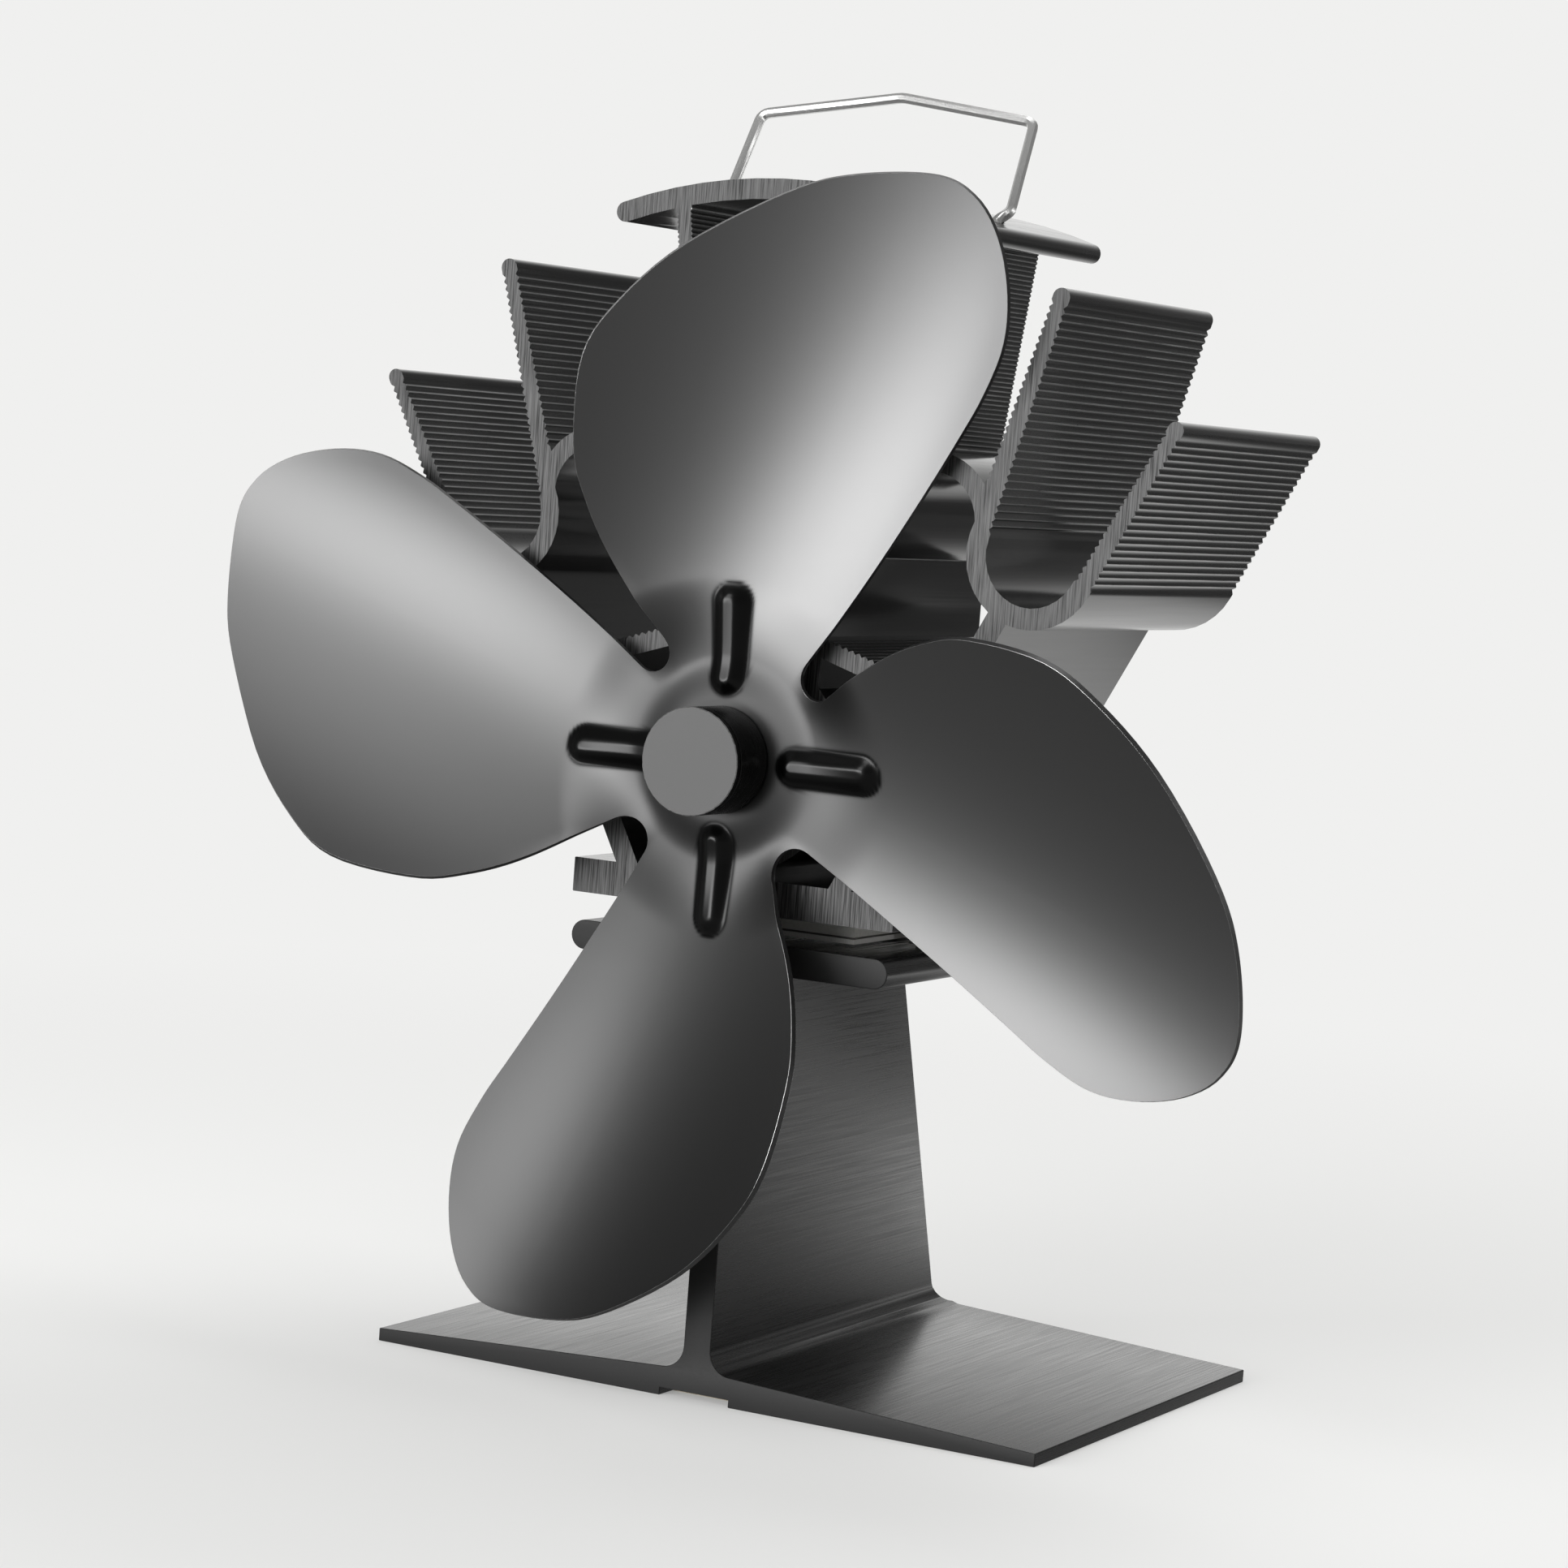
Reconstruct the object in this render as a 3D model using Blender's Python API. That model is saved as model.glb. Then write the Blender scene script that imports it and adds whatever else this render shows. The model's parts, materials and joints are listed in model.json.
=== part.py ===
# Stove fan, driven by a thermoelectric module between a hot base stand and a finned heat sink.
# Metres, +Z up. The fan looks along -Y, the origin lies under the middle of the whole object.

import bpy
import bmesh
import math
from mathutils import Vector, Matrix
from mathutils.geometry import tessellate_polygon

for old in list(bpy.data.objects):
    bpy.data.objects.remove(old, do_unlink=True)

mm = 0.001
degree = math.radians(1)

# Clearances shared by all pieces
fit = 0.3 * mm
overrun = 2.0 * mm
same_point = 0.03 * mm
straight_enough = 0.0005

# Base stand: inverted T with a round-ended top plate, one extrusion
base_width = 108.4 * mm
base_depth = 76.4 * mm
wing_tip_height = 1.9 * mm
wing_root_height = 4.3 * mm
stem_thickness = 4.4 * mm
stem_fillet = 3.4 * mm
stem_back_fillet = 5.0 * mm
channel_width = 11.3 * mm
channel_depth = 1.1 * mm
plate_width = 51.6 * mm
plate_thickness = 4.3 * mm
plate_top = 67.1 * mm
stem_foot_depth = 73.3 * mm

# Overheating strip under the base, held by one countersunk rivet
strip_width = 10.0 * mm
strip_length = 44.0 * mm
strip_thickness = 0.5 * mm
strip_front_margin = 3.0 * mm
rivet_margin = 5.0 * mm
rivet_radius = 1.2 * mm
rivet_head_radius = 2.2 * mm
rivet_depth = 1.9 * mm

# Thermoelectric module
module_gap = 4.0 * mm
module_size = 30.0 * mm
ceramic_thickness = 0.7 * mm
leg_size = 2.8 * mm
leg_rows = 5
strap_thickness = 0.35 * mm
seal_width = 1.2 * mm

# Heat sink: slab, arms, fins, arch, column and cap, one extrusion
sink_depth = 50.7 * mm
slab_width = 52.2 * mm
slab_thickness = 5.0 * mm
arm_foot = 17.35 * mm
arm_thickness = 3.2 * mm
bend_x = 43.0 * mm
bend_z = 125.0 * mm
bend_radius = 7.05 * mm
bend_wall = 3.0 * mm
outer_tip_x = 62.7 * mm
outer_tip_z = 143.6 * mm
outer_tip_radius = 1.2 * mm
inner_tip_x = 44.3 * mm
inner_tip_z = 160.6 * mm
inner_tip_radius = 1.3 * mm
lobe_x = 27.1 * mm
lobe_z = 128.9 * mm
lobe_radius = 6.8 * mm
arch_wall = 2.8 * mm
notch_angle = 35 * degree
column_half_at_cap = 17.0 * mm
column_half_at_arch = 13.0 * mm
column_half_at_roof = 11.7 * mm
column_wall = 2.5 * mm
ridge_half = 16.2 * mm
ridge_z = 122.9 * mm
waist_z = 116.0 * mm
roof_z = 111.4 * mm
roof_slope = 17.4 * degree
roof_wall = 2.9 * mm
cap_top = 175.1 * mm
cap_radius = 80.0 * mm
cap_thickness = 2.9 * mm
cap_half_width = 26.8 * mm
rib_pitch = 1.1 * mm
rib_depth = 0.45 * mm
rib_margin = 0.5 * mm
column_rib_pitch = 0.7 * mm
column_rib_depth = 0.3 * mm

# Motor tube in the heat sink
axis_z = 93.0 * mm
tube_wall = 2.6 * mm
tube_web = 7.0 * mm

# Motor
motor_radius = 12.0 * mm
motor_length = 26.0 * mm
motor_setback = 4.0 * mm
can_wall = 0.8 * mm
boss_radius = 4.2 * mm
boss_height = 1.6 * mm
end_cap_thickness = 3.0 * mm
sleeve_thickness = 0.9 * mm
sleeve_length = 22.0 * mm
shaft_radius = 1.0 * mm
bearing_radius = 3.0 * mm
bearing_length = 3.0 * mm
magnet_thickness = 1.4 * mm
magnet_length = 18.0 * mm
magnet_span = 132 * degree
air_gap = 0.5 * mm
core_length = 12.0 * mm
core_forward = 2.6 * mm
core_hub_radius = 3.2 * mm
pole_count = 3
pole_neck = 2.6 * mm
pole_shoe = 1.4 * mm
pole_slot = 24 * degree
coil_thickness = 1.5 * mm
coil_overhang = 1.6 * mm
commutator_radius = 2.6 * mm
commutator_length = 4.2 * mm
brush_thickness = 0.4 * mm
brush_width = 2.2 * mm
terminal_width = 2.0 * mm
terminal_thickness = 0.5 * mm
terminal_length = 3.4 * mm
terminal_offset = 6.4 * mm
spacer_radius = 2.2 * mm
shaft_tail = 1.2 * mm

# Leads from the module to the motor
lead_radius = 0.6 * mm
lead_near = 5.6 * mm
lead_far = 9.2 * mm
lead_hole_radius = 1.1 * mm
lead_hole_margin = 5.0 * mm
lead_rise_radius = 3.0 * mm
lead_rise_steps = 3
lead_lean_shares = (0.17, 0.67)
lead_point_spacing = 2.4 * mm

# Clamp screws, sunk from below into the top plate, each in an insulating bush
screw_offset = 19.5 * mm
screw_radius = 1.75 * mm
screw_bite = 4.0 * mm
screw_head_radius = 3.1 * mm
screw_head_height = 1.7 * mm
screw_socket = 1.3 * mm
screw_socket_depth = 1.1 * mm
bush_wall = 0.6 * mm
bush_flange_radius = 3.4 * mm
bush_flange_thickness = 0.6 * mm

# Carrying handle of bent wire, its feet hooked under the cap through two slots
wire_radius = 0.8 * mm
pivot_depth = 24.4 * mm
pivot_z = 170.6 * mm
hook_drop = 3.1 * mm
hook_end_x = 18.0 * mm
slot_x = 21.5 * mm
slot_length = 4.6 * mm
slot_width = 2.3 * mm
leg_neck = 1.7 * mm
leg_foot_x = 23.3 * mm
leg_foot = 3.4 * mm
leg_top_x = 22.5 * mm
leg_height = 18.6 * mm
apex_height = 22.2 * mm
hook_bend = 1.0 * mm
neck_bend = 1.4 * mm
corner_bend = 1.5 * mm
apex_bend = 5.0 * mm
handle_tilt = 28.5 * degree

# Fan: one pressed sheet with four blades, and its hub
rotor_radius = 87.5 * mm
sheet_thickness = 0.8 * mm
blade_count = 4
sheet_front = 5.0 * mm
dome_height = 0.9 * mm
dome_radius = 11.6 * mm
dome_edge = 2.8 * mm
notch_radius = 3.2 * mm
notch_reach = 19.3 * mm
notch_turn = 3.8 * degree
notch_blend = 11 * degree
bead_start = 8.9 * mm
bead_end = 25.2 * mm
bead_width = 5.8 * mm
bead_height = 1.5 * mm
bead_crest_share = 0.25
hub_radius = 7.65 * mm
hub_front = 14.9 * mm
hub_cap_thickness = 1.0 * mm
spigot_radius = 4.0 * mm
spigot_end = 2.6 * mm
ring_radius = 7.0 * mm
ring_thickness = 1.5 * mm
shaft_reach = 12.0 * mm
grub_radius = 1.2 * mm
grub_length = 4.0 * mm
grub_depth = 10.2 * mm

# Blade outline as shares of the rotor radius: (outwards, sideways) from the root over the tip and back
blade_edge_shares = [
    (0.309, -0.187), (0.400, -0.222), (0.486, -0.235), (0.627, -0.215), (0.719, -0.159),
    (0.815, -0.060), (0.904, 0.090), (0.938, 0.194), (0.945, 0.325), (0.915, 0.392),
    (0.853, 0.432), (0.770, 0.450), (0.689, 0.445), (0.610, 0.412), (0.542, 0.372),
    (0.446, 0.313), (0.300, 0.222),
]
blade_tip_share = 7.6

# How far a blade stands off its root plane, as shares of the rotor radius
blade_offset_share = -0.084
blade_pitch_share = 0.138
blade_camber_share = -0.700
blade_rake_share = 0.154
blade_twist_share = 0.439
blade_sweep_share = -0.312
blend_start = 13.0 * mm
blend_end = 26.0 * mm

# Mesh fineness
round_steps = 32
motor_steps = 24
small_steps = 12
arc_step = 12 * degree
arc_sag = 0.04 * mm
wire_steps = 2
notch_columns = 4
blade_row_shares = [0, 0.018, 0.036, 0.054, 0.068, 0.084, 0.12, 0.18, 0.26, 0.35, 0.44, 0.53, 0.62, 0.71,
                    0.79, 0.86, 0.92, 0.965, 1]
blade_column_shares = [0, 0.10, 0.21, 0.31, 0.37, 0.446, 0.52, 0.582, 0.68, 0.79, 0.90, 1]


# Materials

def finish(name, colour, metallic, roughness):
    material = bpy.data.materials.new(name)
    material.use_nodes = True
    shader = material.node_tree.nodes["Principled BSDF"]
    shader.inputs["Base Color"].default_value = (*colour, 1)
    shader.inputs["Metallic"].default_value = metallic
    shader.inputs["Roughness"].default_value = roughness
    material.diffuse_color = (*colour, 1)
    return material


black_anodised = finish("black_anodised_aluminium", (0.045, 0.045, 0.047), 0.8, 0.45)
satin_sheet = finish("satin_anodised_sheet", (0.20, 0.20, 0.21), 0.9, 0.38)
hub_grey = finish("turned_grey_aluminium", (0.16, 0.16, 0.165), 0.9, 0.35)
stainless = finish("stainless_wire", (0.72, 0.72, 0.72), 1.0, 0.18)
zinc_steel = finish("zinc_plated_steel", (0.55, 0.55, 0.54), 1.0, 0.32)
ceramic = finish("alumina_ceramic", (0.86, 0.86, 0.84), 0.0, 0.55)
semiconductor = finish("bismuth_telluride", (0.18, 0.18, 0.20), 0.6, 0.45)
white_silicone = finish("white_silicone", (0.78, 0.78, 0.76), 0.0, 0.6)
grey_silicone = finish("grey_silicone_rubber", (0.25, 0.25, 0.26), 0.0, 0.7)
mica_plastic = finish("insulating_plastic", (0.10, 0.09, 0.08), 0.0, 0.55)
motor_steel = finish("nickel_plated_steel", (0.60, 0.59, 0.56), 1.0, 0.28)
motor_plastic = finish("black_nylon", (0.03, 0.03, 0.03), 0.0, 0.5)
ferrite = finish("ferrite_magnet", (0.07, 0.07, 0.08), 0.0, 0.6)
bronze = finish("sintered_bronze", (0.50, 0.33, 0.16), 1.0, 0.4)
copper = finish("enamelled_copper", (0.60, 0.24, 0.10), 1.0, 0.35)
laminated_steel = finish("laminated_steel", (0.30, 0.30, 0.31), 1.0, 0.45)
brass = finish("brass", (0.65, 0.50, 0.22), 1.0, 0.3)
red_insulation = finish("red_silicone_insulation", (0.45, 0.03, 0.02), 0.0, 0.5)
black_insulation = finish("black_silicone_insulation", (0.02, 0.02, 0.02), 0.0, 0.5)
bimetal = finish("bimetal_strip", (0.55, 0.50, 0.42), 1.0, 0.35)


# Plane geometry helpers, points are (x, z) pairs seen from the front

def polar(centre, radius, angle):
    return (centre[0] + radius * math.cos(angle), centre[1] + radius * math.sin(angle))


def arc(centre, radius, start, end):
    step = min(arc_step, 2 * math.acos(1 - arc_sag / radius))
    steps = max(2, math.ceil(abs(end - start) / step))
    return [polar(centre, radius, start + (end - start) * i / steps) for i in range(steps + 1)]


def angle_of(centre, point):
    return math.atan2(point[1] - centre[1], point[0] - centre[0])


def tangent(first, first_side, second, second_side):
    """Line that keeps each circle at its signed radius to the left; returns its two touching points."""
    dx = second[0] - first[0]
    dz = second[1] - first[1]
    turn = math.atan2(dz, dx) - math.asin((second_side - first_side) / math.hypot(dx, dz))
    left = (-math.sin(turn), math.cos(turn))
    start = (first[0] - left[0] * first_side, first[1] - left[1] * first_side)
    end = (second[0] - left[0] * second_side, second[1] - left[1] * second_side)
    return start, end


def meet(point, direction, other, other_direction):
    """Crossing point of two lines."""
    cross = direction[0] * other_direction[1] - direction[1] * other_direction[0]
    along = ((other[0] - point[0]) * other_direction[1] - (other[1] - point[1]) * other_direction[0]) / cross
    return (point[0] + direction[0] * along, point[1] + direction[1] * along)


def ribbed(start, end, pitch=rib_pitch, depth=rib_depth):
    """Straight run with pressed-in grooves on its left side, a plain margin at each end."""
    length = math.hypot(end[0] - start[0], end[1] - start[1])
    ux = (end[0] - start[0]) / length
    uz = (end[1] - start[1]) / length
    count = int((length - 2 * rib_margin) / pitch)
    first = (length - count * pitch) / 2
    points = [start]
    for i in range(count):
        crest = first + i * pitch
        valley = crest + pitch / 2
        points.append((start[0] + ux * crest, start[1] + uz * crest))
        points.append((start[0] + ux * valley - uz * depth, start[1] + uz * valley + ux * depth))
    last = first + count * pitch
    points.append((start[0] + ux * last, start[1] + uz * last))
    points.append(end)
    return points


def mirrored(points):
    return [(-x, z) for x, z in reversed(points)]


def without_doubles(points):
    kept = []
    for point in points:
        if not kept or math.dist(kept[-1], point) > same_point:
            kept.append(point)
    if math.dist(kept[0], kept[-1]) <= same_point:
        kept.pop()
    return kept


def corners_only(points):
    """Outline without doubled points and without points on a straight side."""
    points = without_doubles(points)
    kept = []
    for before, point, after in zip(points[-1:] + points, points, points[1:] + points[:1]):
        one = Vector(point) - Vector(before)
        two = Vector(after) - Vector(point)
        if abs(one.normalized().cross(two.normalized())) > straight_enough:
            kept.append(point)
    return kept


# Mesh helpers

def add_object(name, bm, material, smooth=30 * degree):
    bmesh.ops.recalc_face_normals(bm, faces=bm.faces[:])
    mesh = bpy.data.meshes.new(name)
    bm.to_mesh(mesh)
    bm.free()
    mesh.shade_smooth()
    mesh.set_sharp_from_angle(angle=smooth)
    mesh.materials.append(material)
    part = bpy.data.objects.new(name, mesh)
    bpy.context.scene.collection.objects.link(part)
    return part


def to_3d(point, along, axis):
    if axis == "Y":
        return Vector((point[0], along, point[1]))
    if axis == "Z":
        return Vector((point[0], point[1], along))
    return Vector((along, point[0], point[1]))


def add_prism(bm, loops, start, end, axis="Y"):
    """Closed bar with the given outline and holes, between two places along an axis."""
    loops = [corners_only(loop) for loop in loops]
    near = [[bm.verts.new(to_3d(p, start, axis)) for p in loop] for loop in loops]
    far = [[bm.verts.new(to_3d(p, end, axis)) for p in loop] for loop in loops]
    for loop_near, loop_far in zip(near, far):
        for i in range(len(loop_near)):
            j = (i + 1) % len(loop_near)
            bm.faces.new((loop_near[i], loop_near[j], loop_far[j], loop_far[i]))
    if len(loops) == 1:
        bm.faces.new(near[0])
        bm.faces.new(far[0])
        return
    triangles = tessellate_polygon([[Vector((x, z, 0)) for x, z in loop] for loop in loops])
    for ring in (sum(near, []), sum(far, [])):
        for a, b, c in triangles:
            bm.faces.new((ring[a], ring[b], ring[c]))


def prism(name, loops, start, end, material, axis="Y"):
    bm = bmesh.new()
    add_prism(bm, loops, start, end, axis)
    return add_object(name, bm, material)


def add_turned(bm, outline, centre, axis="Y", steps=round_steps):
    """Closed turned body; outline holds (radius, along) pairs and a pole has radius zero."""
    rings = []
    for radius, along in outline:
        if radius == 0:
            rings.append([bm.verts.new(to_3d(centre, along, axis))])
        else:
            ring = [polar(centre, radius, 2 * math.pi * i / steps) for i in range(steps)]
            rings.append([bm.verts.new(to_3d(p, along, axis)) for p in ring])
    pairs = list(zip(rings, rings[1:]))
    if len(rings[0]) > 1:
        pairs.append((rings[-1], rings[0]))
    for one, two in pairs:
        for i in range(steps):
            j = (i + 1) % steps
            if len(one) == 1:
                bm.faces.new((one[0], two[j], two[i]))
            elif len(two) == 1:
                bm.faces.new((one[i], one[j], two[0]))
            else:
                bm.faces.new((one[i], one[j], two[j], two[i]))


def turned(name, outline, centre, material, axis="Y", steps=round_steps):
    bm = bmesh.new()
    add_turned(bm, outline, centre, axis, steps)
    return add_object(name, bm, material)


def tube_outline(inner, outer, start, end):
    return [(inner, start), (outer, start), (outer, end), (inner, end)]


def rod_outline(radius, start, end):
    return [(0, start), (radius, start), (radius, end), (0, end)]


def cutter(name, bm):
    guide = add_object(name, bm, black_anodised)
    guide.hide_render = True
    guide.display_type = "WIRE"
    return guide


def cut(part, guide):
    boolean = part.modifiers.new("cut_" + guide.name, "BOOLEAN")
    boolean.operation = "DIFFERENCE"
    boolean.object = guide


def drill(part, name, radius, centre, start, end, axis="Y", steps=small_steps):
    bm = bmesh.new()
    add_turned(bm, rod_outline(radius, start, end), centre, axis, steps)
    cut(part, cutter(name, bm))


def rectangle(x_low, x_high, z_low, z_high):
    return [(x_low, z_low), (x_high, z_low), (x_high, z_high), (x_low, z_high)]


def rest_on_axis(part, pivot):
    """Moves the object's origin to its joint's axis and leaves its shape where it is."""
    part.data.transform(Matrix.Translation(-Vector(pivot)))
    part.location = pivot


# Fan sheet: points of the pressed surface, seen from the front, as (x, z, offset) around the hub axis

def smooth_step(value):
    value = min(1, max(0, value))
    return value * value * (3 - 2 * value)


def blade_offset(outwards, sideways):
    r = outwards / rotor_radius
    s = sideways / rotor_radius
    across = blade_pitch_share * s + blade_camber_share * s * s
    along = blade_rake_share * r + blade_sweep_share * r * r
    full = rotor_radius * (blade_offset_share + across + along + blade_twist_share * r * s)
    weight = smooth_step((math.hypot(outwards, sideways) - blend_start) / (blend_end - blend_start))
    return -sheet_front + (full + sheet_front) * weight


def sheet_offset(outwards, sideways):
    """Offset of the plain sheet: a blade's own surface, blended into its neighbour's across the notch."""
    side = math.copysign(1, sideways)
    turn = side * math.atan2(sideways, outwards)
    start = math.pi / 4 + side * notch_turn - notch_blend
    share = smooth_step((turn - start) / (2 * notch_blend))
    own = blade_offset(outwards, sideways)
    neighbour = blade_offset(side * sideways, -side * outwards)
    return own + (neighbour - own) * share


def pressed(outwards, sideways):
    """Height of the raised centre and of the bead on a blade's root."""
    radius = math.hypot(outwards, sideways)
    dome = dome_height * (1 - smooth_step((radius - dome_radius) / dome_edge))
    half = bead_width / 2
    nearest = min(max(outwards, bead_start + half), bead_end - half)
    distance = math.hypot(outwards - nearest, sideways) - half * bead_crest_share
    bead = bead_height * (1 - smooth_step(distance / (half * (1 - bead_crest_share))))
    return -dome - bead


def smooth_curve(points, place):
    """Catmull-Rom curve through the points; place counts them from zero."""
    i = min(int(place), len(points) - 2)
    t = place - i
    p1 = points[i]
    p2 = points[i + 1]
    p0 = points[i - 1] if i > 0 else [2 * a - b for a, b in zip(p1, p2)]
    p3 = points[i + 2] if i + 2 < len(points) else [2 * b - a for a, b in zip(p1, p2)]
    result = []
    for a, b, c, d in zip(p0, p1, p2, p3):
        value = 2 * b + (c - a) * t + (2 * a - 5 * b + 4 * c - d) * t * t + (3 * b - 3 * c + d - a) * t ** 3
        result.append(value / 2)
    return result


def notch_places():
    """Centre of the notch before and after a blade, in the blade's (outwards, sideways) frame."""
    before = math.pi / 4 - notch_turn
    after = math.pi / 4 + notch_turn
    low = (notch_reach * math.cos(before), -notch_reach * math.sin(before))
    high = (notch_reach * math.cos(after), notch_reach * math.sin(after))
    return low, high


def blade_grid():
    """Rows of (outwards, sideways) across one blade from its root to its tip."""
    low, high = notch_places()
    points = [(r * rotor_radius, s * rotor_radius) for r, s in blade_edge_shares]
    left_root = tangent(low, -notch_radius, points[0], 0)[0]
    right_root = tangent(high, notch_radius, points[-1], 0)[0]
    edge = [left_root] + points + [right_root]
    tip = 1 + blade_tip_share
    last = len(edge) - 1
    rows = []
    for share in blade_row_shares:
        left = smooth_curve(edge, tip * share)
        right = smooth_curve(edge, last - (last - tip) * share)
        rows.append([[a + (b - a) * side for a, b in zip(left, right)] for side in blade_column_shares])
    return rows


def blade_frame(number, outwards, sideways):
    """Place on the blade turned to its own quarter, as (x, z)."""
    turn = 2 * math.pi * number / blade_count
    x = outwards * math.sin(turn) + sideways * math.cos(turn)
    z = outwards * math.cos(turn) - sideways * math.sin(turn)
    return x, z


def fan_surface():
    """Front surface of the sheet as vertex places and faces."""
    places = []
    faces = []
    grid = blade_grid()
    low, high = notch_places()
    bore = spigot_radius + fit
    bead_nose = bead_start + bead_width * bead_crest_share
    ring_radii = [bore, bead_start, bead_nose, dome_radius, dome_radius + dome_edge]
    columns = []
    blades = []

    def place(number, outwards, sideways, offset):
        x, z = blade_frame(number, outwards, sideways)
        places.append((x, z, offset))
        return len(places) - 1

    for number in range(blade_count):
        rows = []
        for k, row in enumerate(grid):
            if k == len(grid) - 1:
                r, s = row[0]
                rows.append([place(number, r, s, sheet_offset(r, s))] * len(row))
            else:
                rows.append([place(number, r, s, sheet_offset(r, s) + pressed(r, s)) for r, s in row])
        blades.append(rows)
        root = [(r, s, rows[0][c]) for c, (r, s) in enumerate(grid[0])]
        left_end = grid[0][0]
        right_end = grid[0][-1]
        next_start = (-left_end[1], left_end[0])
        turn_from = angle_of(high, right_end)
        turn_to = angle_of(high, next_start)
        while turn_to > turn_from:
            turn_to -= 2 * math.pi
        arc_columns = []
        for c in range(1, notch_columns + 1):
            share = c / (notch_columns + 1)
            r, s = polar(high, notch_radius, turn_from + (turn_to - turn_from) * share)
            arc_columns.append((r, s, place(number, r, s, sheet_offset(r, s))))
        for r, s, index in root + arc_columns:
            reach = math.hypot(r, s)
            column = []
            for radius in ring_radii:
                share = radius / reach
                inner = (r * share, s * share)
                column.append(place(number, *inner, sheet_offset(*inner) + pressed(*inner)))
            column.append(index)
            columns.append(column)

    for rows in blades:
        for row, above in zip(rows, rows[1:]):
            for c in range(len(row) - 1):
                corners = [row[c], row[c + 1], above[c + 1], above[c]]
                faces.append(list(dict.fromkeys(corners)))
    for i, column in enumerate(columns):
        other = columns[(i + 1) % len(columns)]
        for k in range(len(column) - 1):
            faces.append([column[k], other[k], other[k + 1], column[k + 1]])
    return places, faces


sheet_places, sheet_faces = fan_surface()
rotor_reach = -min(offset for x, z, offset in sheet_places)

# Main planes: the fan's front, the sink's front and the base's back share the space evenly about the origin
front_y = (rotor_reach - base_depth) / 2
sink_back_y = front_y + sink_depth
slab_bottom = plate_top + module_gap
slab_top = slab_bottom + slab_thickness
axis = (0, axis_z)
hub_axis_point = (0, front_y, axis_z)
module_y = front_y + sink_depth / 2
half_module = module_size / 2
lead_hole_y = module_y + half_module + lead_hole_margin


# Clamp places that base, bushes and screws share
bush_inner = screw_radius + fit
bush_outer = bush_inner + bush_wall
flange_top = plate_top - plate_thickness + fit + screw_head_height + fit + bush_flange_thickness


# Base stand

def base_outline():
    half = base_width / 2
    stem = stem_thickness / 2
    corner = (stem + stem_fillet, wing_root_height + stem_fillet)
    nose = plate_thickness / 2
    nose_centre = (plate_width / 2 - nose, plate_top - nose)
    right = [(0, channel_depth), (channel_width / 2, channel_depth), (channel_width / 2, 0), (half, 0)]
    right.append((half, wing_tip_height))
    right += arc(corner, stem_fillet, -math.pi / 2, -math.pi)
    right.append((stem, plate_top - plate_thickness))
    right += arc(nose_centre, nose, -math.pi / 2, math.pi / 2)
    right.append((0, plate_top))
    return right + mirrored(right)


def make_base():
    base = prism("base_stand", [base_outline()], front_y, front_y + base_depth, black_anodised)
    floor = wing_root_height + fit
    slope = (stem_foot_depth - sink_depth) / (plate_top - floor)
    foot = front_y + stem_foot_depth
    back = front_y + base_depth + overrun
    corner = (foot + stem_back_fillet * (math.hypot(1, slope) - slope), floor + stem_back_fillet)
    side = [(front_y + sink_depth - slope * overrun, plate_top + overrun)]
    side += arc(corner, stem_back_fillet, math.pi + math.atan(slope), 3 * math.pi / 2)
    side += [(back, floor), (back, plate_top + overrun)]
    bm = bmesh.new()
    add_prism(bm, [side], -plate_width / 2 - overrun, plate_width / 2 + overrun, "X")
    cut(base, cutter("back_slant_cutter", bm))
    for side in (-1, 1):
        centre = (side * screw_offset, front_y + sink_depth / 2)
        drill(base, f"bush_hole_{side}", bush_outer + fit, centre,
              plate_top - plate_thickness, plate_top + overrun, "Z")
        drill(base, f"head_recess_{side}", bush_flange_radius + fit, centre,
              plate_top - plate_thickness - overrun, flange_top + fit, "Z")
    drill(base, "rivet_hole", rivet_radius + fit, (0, rivet_y), -overrun, rivet_depth + fit, "Z")
    return base


strip_front = front_y + strip_front_margin
strip_back = strip_front + strip_length
strip_top = channel_depth - fit
strip_bottom = strip_top - strip_thickness
rivet_y = strip_back - rivet_margin
make_base()


# Overheating strip and its rivet

def make_strip():
    strip = prism("bimetal_strip",
                  [rectangle(-strip_width / 2, strip_width / 2, strip_front, strip_back)],
                  strip_bottom, strip_top, bimetal, "Z")
    hole = [(0, strip_bottom - fit), (rivet_head_radius + fit, strip_bottom - fit),
            (rivet_head_radius + fit, strip_bottom), (rivet_radius + fit, strip_top),
            (rivet_radius + fit, strip_top + fit / 2), (0, strip_top + fit / 2)]
    bm = bmesh.new()
    add_turned(bm, hole, (0, rivet_y), "Z", small_steps)
    cut(strip, cutter("rivet_seat_cutter", bm))
    turned("bimetal_rivet",
           [(0, strip_bottom), (rivet_head_radius, strip_bottom), (rivet_radius, strip_top),
            (rivet_radius, rivet_depth), (0, rivet_depth)],
           (0, rivet_y), zinc_steel, "Z", small_steps)


make_strip()


# Heat sink

bend = (bend_x, bend_z)
lobe = (lobe_x, lobe_z)
outer_tip = (outer_tip_x, outer_tip_z)
inner_tip = (inner_tip_x, inner_tip_z)
cap_centre = (0, cap_top - cap_radius)
arm_length = math.hypot(bend_x - arm_foot, bend_z - slab_top)
arm_run = ((bend_x - arm_foot) / arm_length, (bend_z - slab_top) / arm_length)
bend_outer = bend_radius + bend_wall
arch_radius = lobe_radius + arch_wall
arch_top = lobe_z + arch_radius
tube_bore = motor_radius + fit + sleeve_thickness + fit
tube_outer = tube_bore + tube_wall


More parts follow.
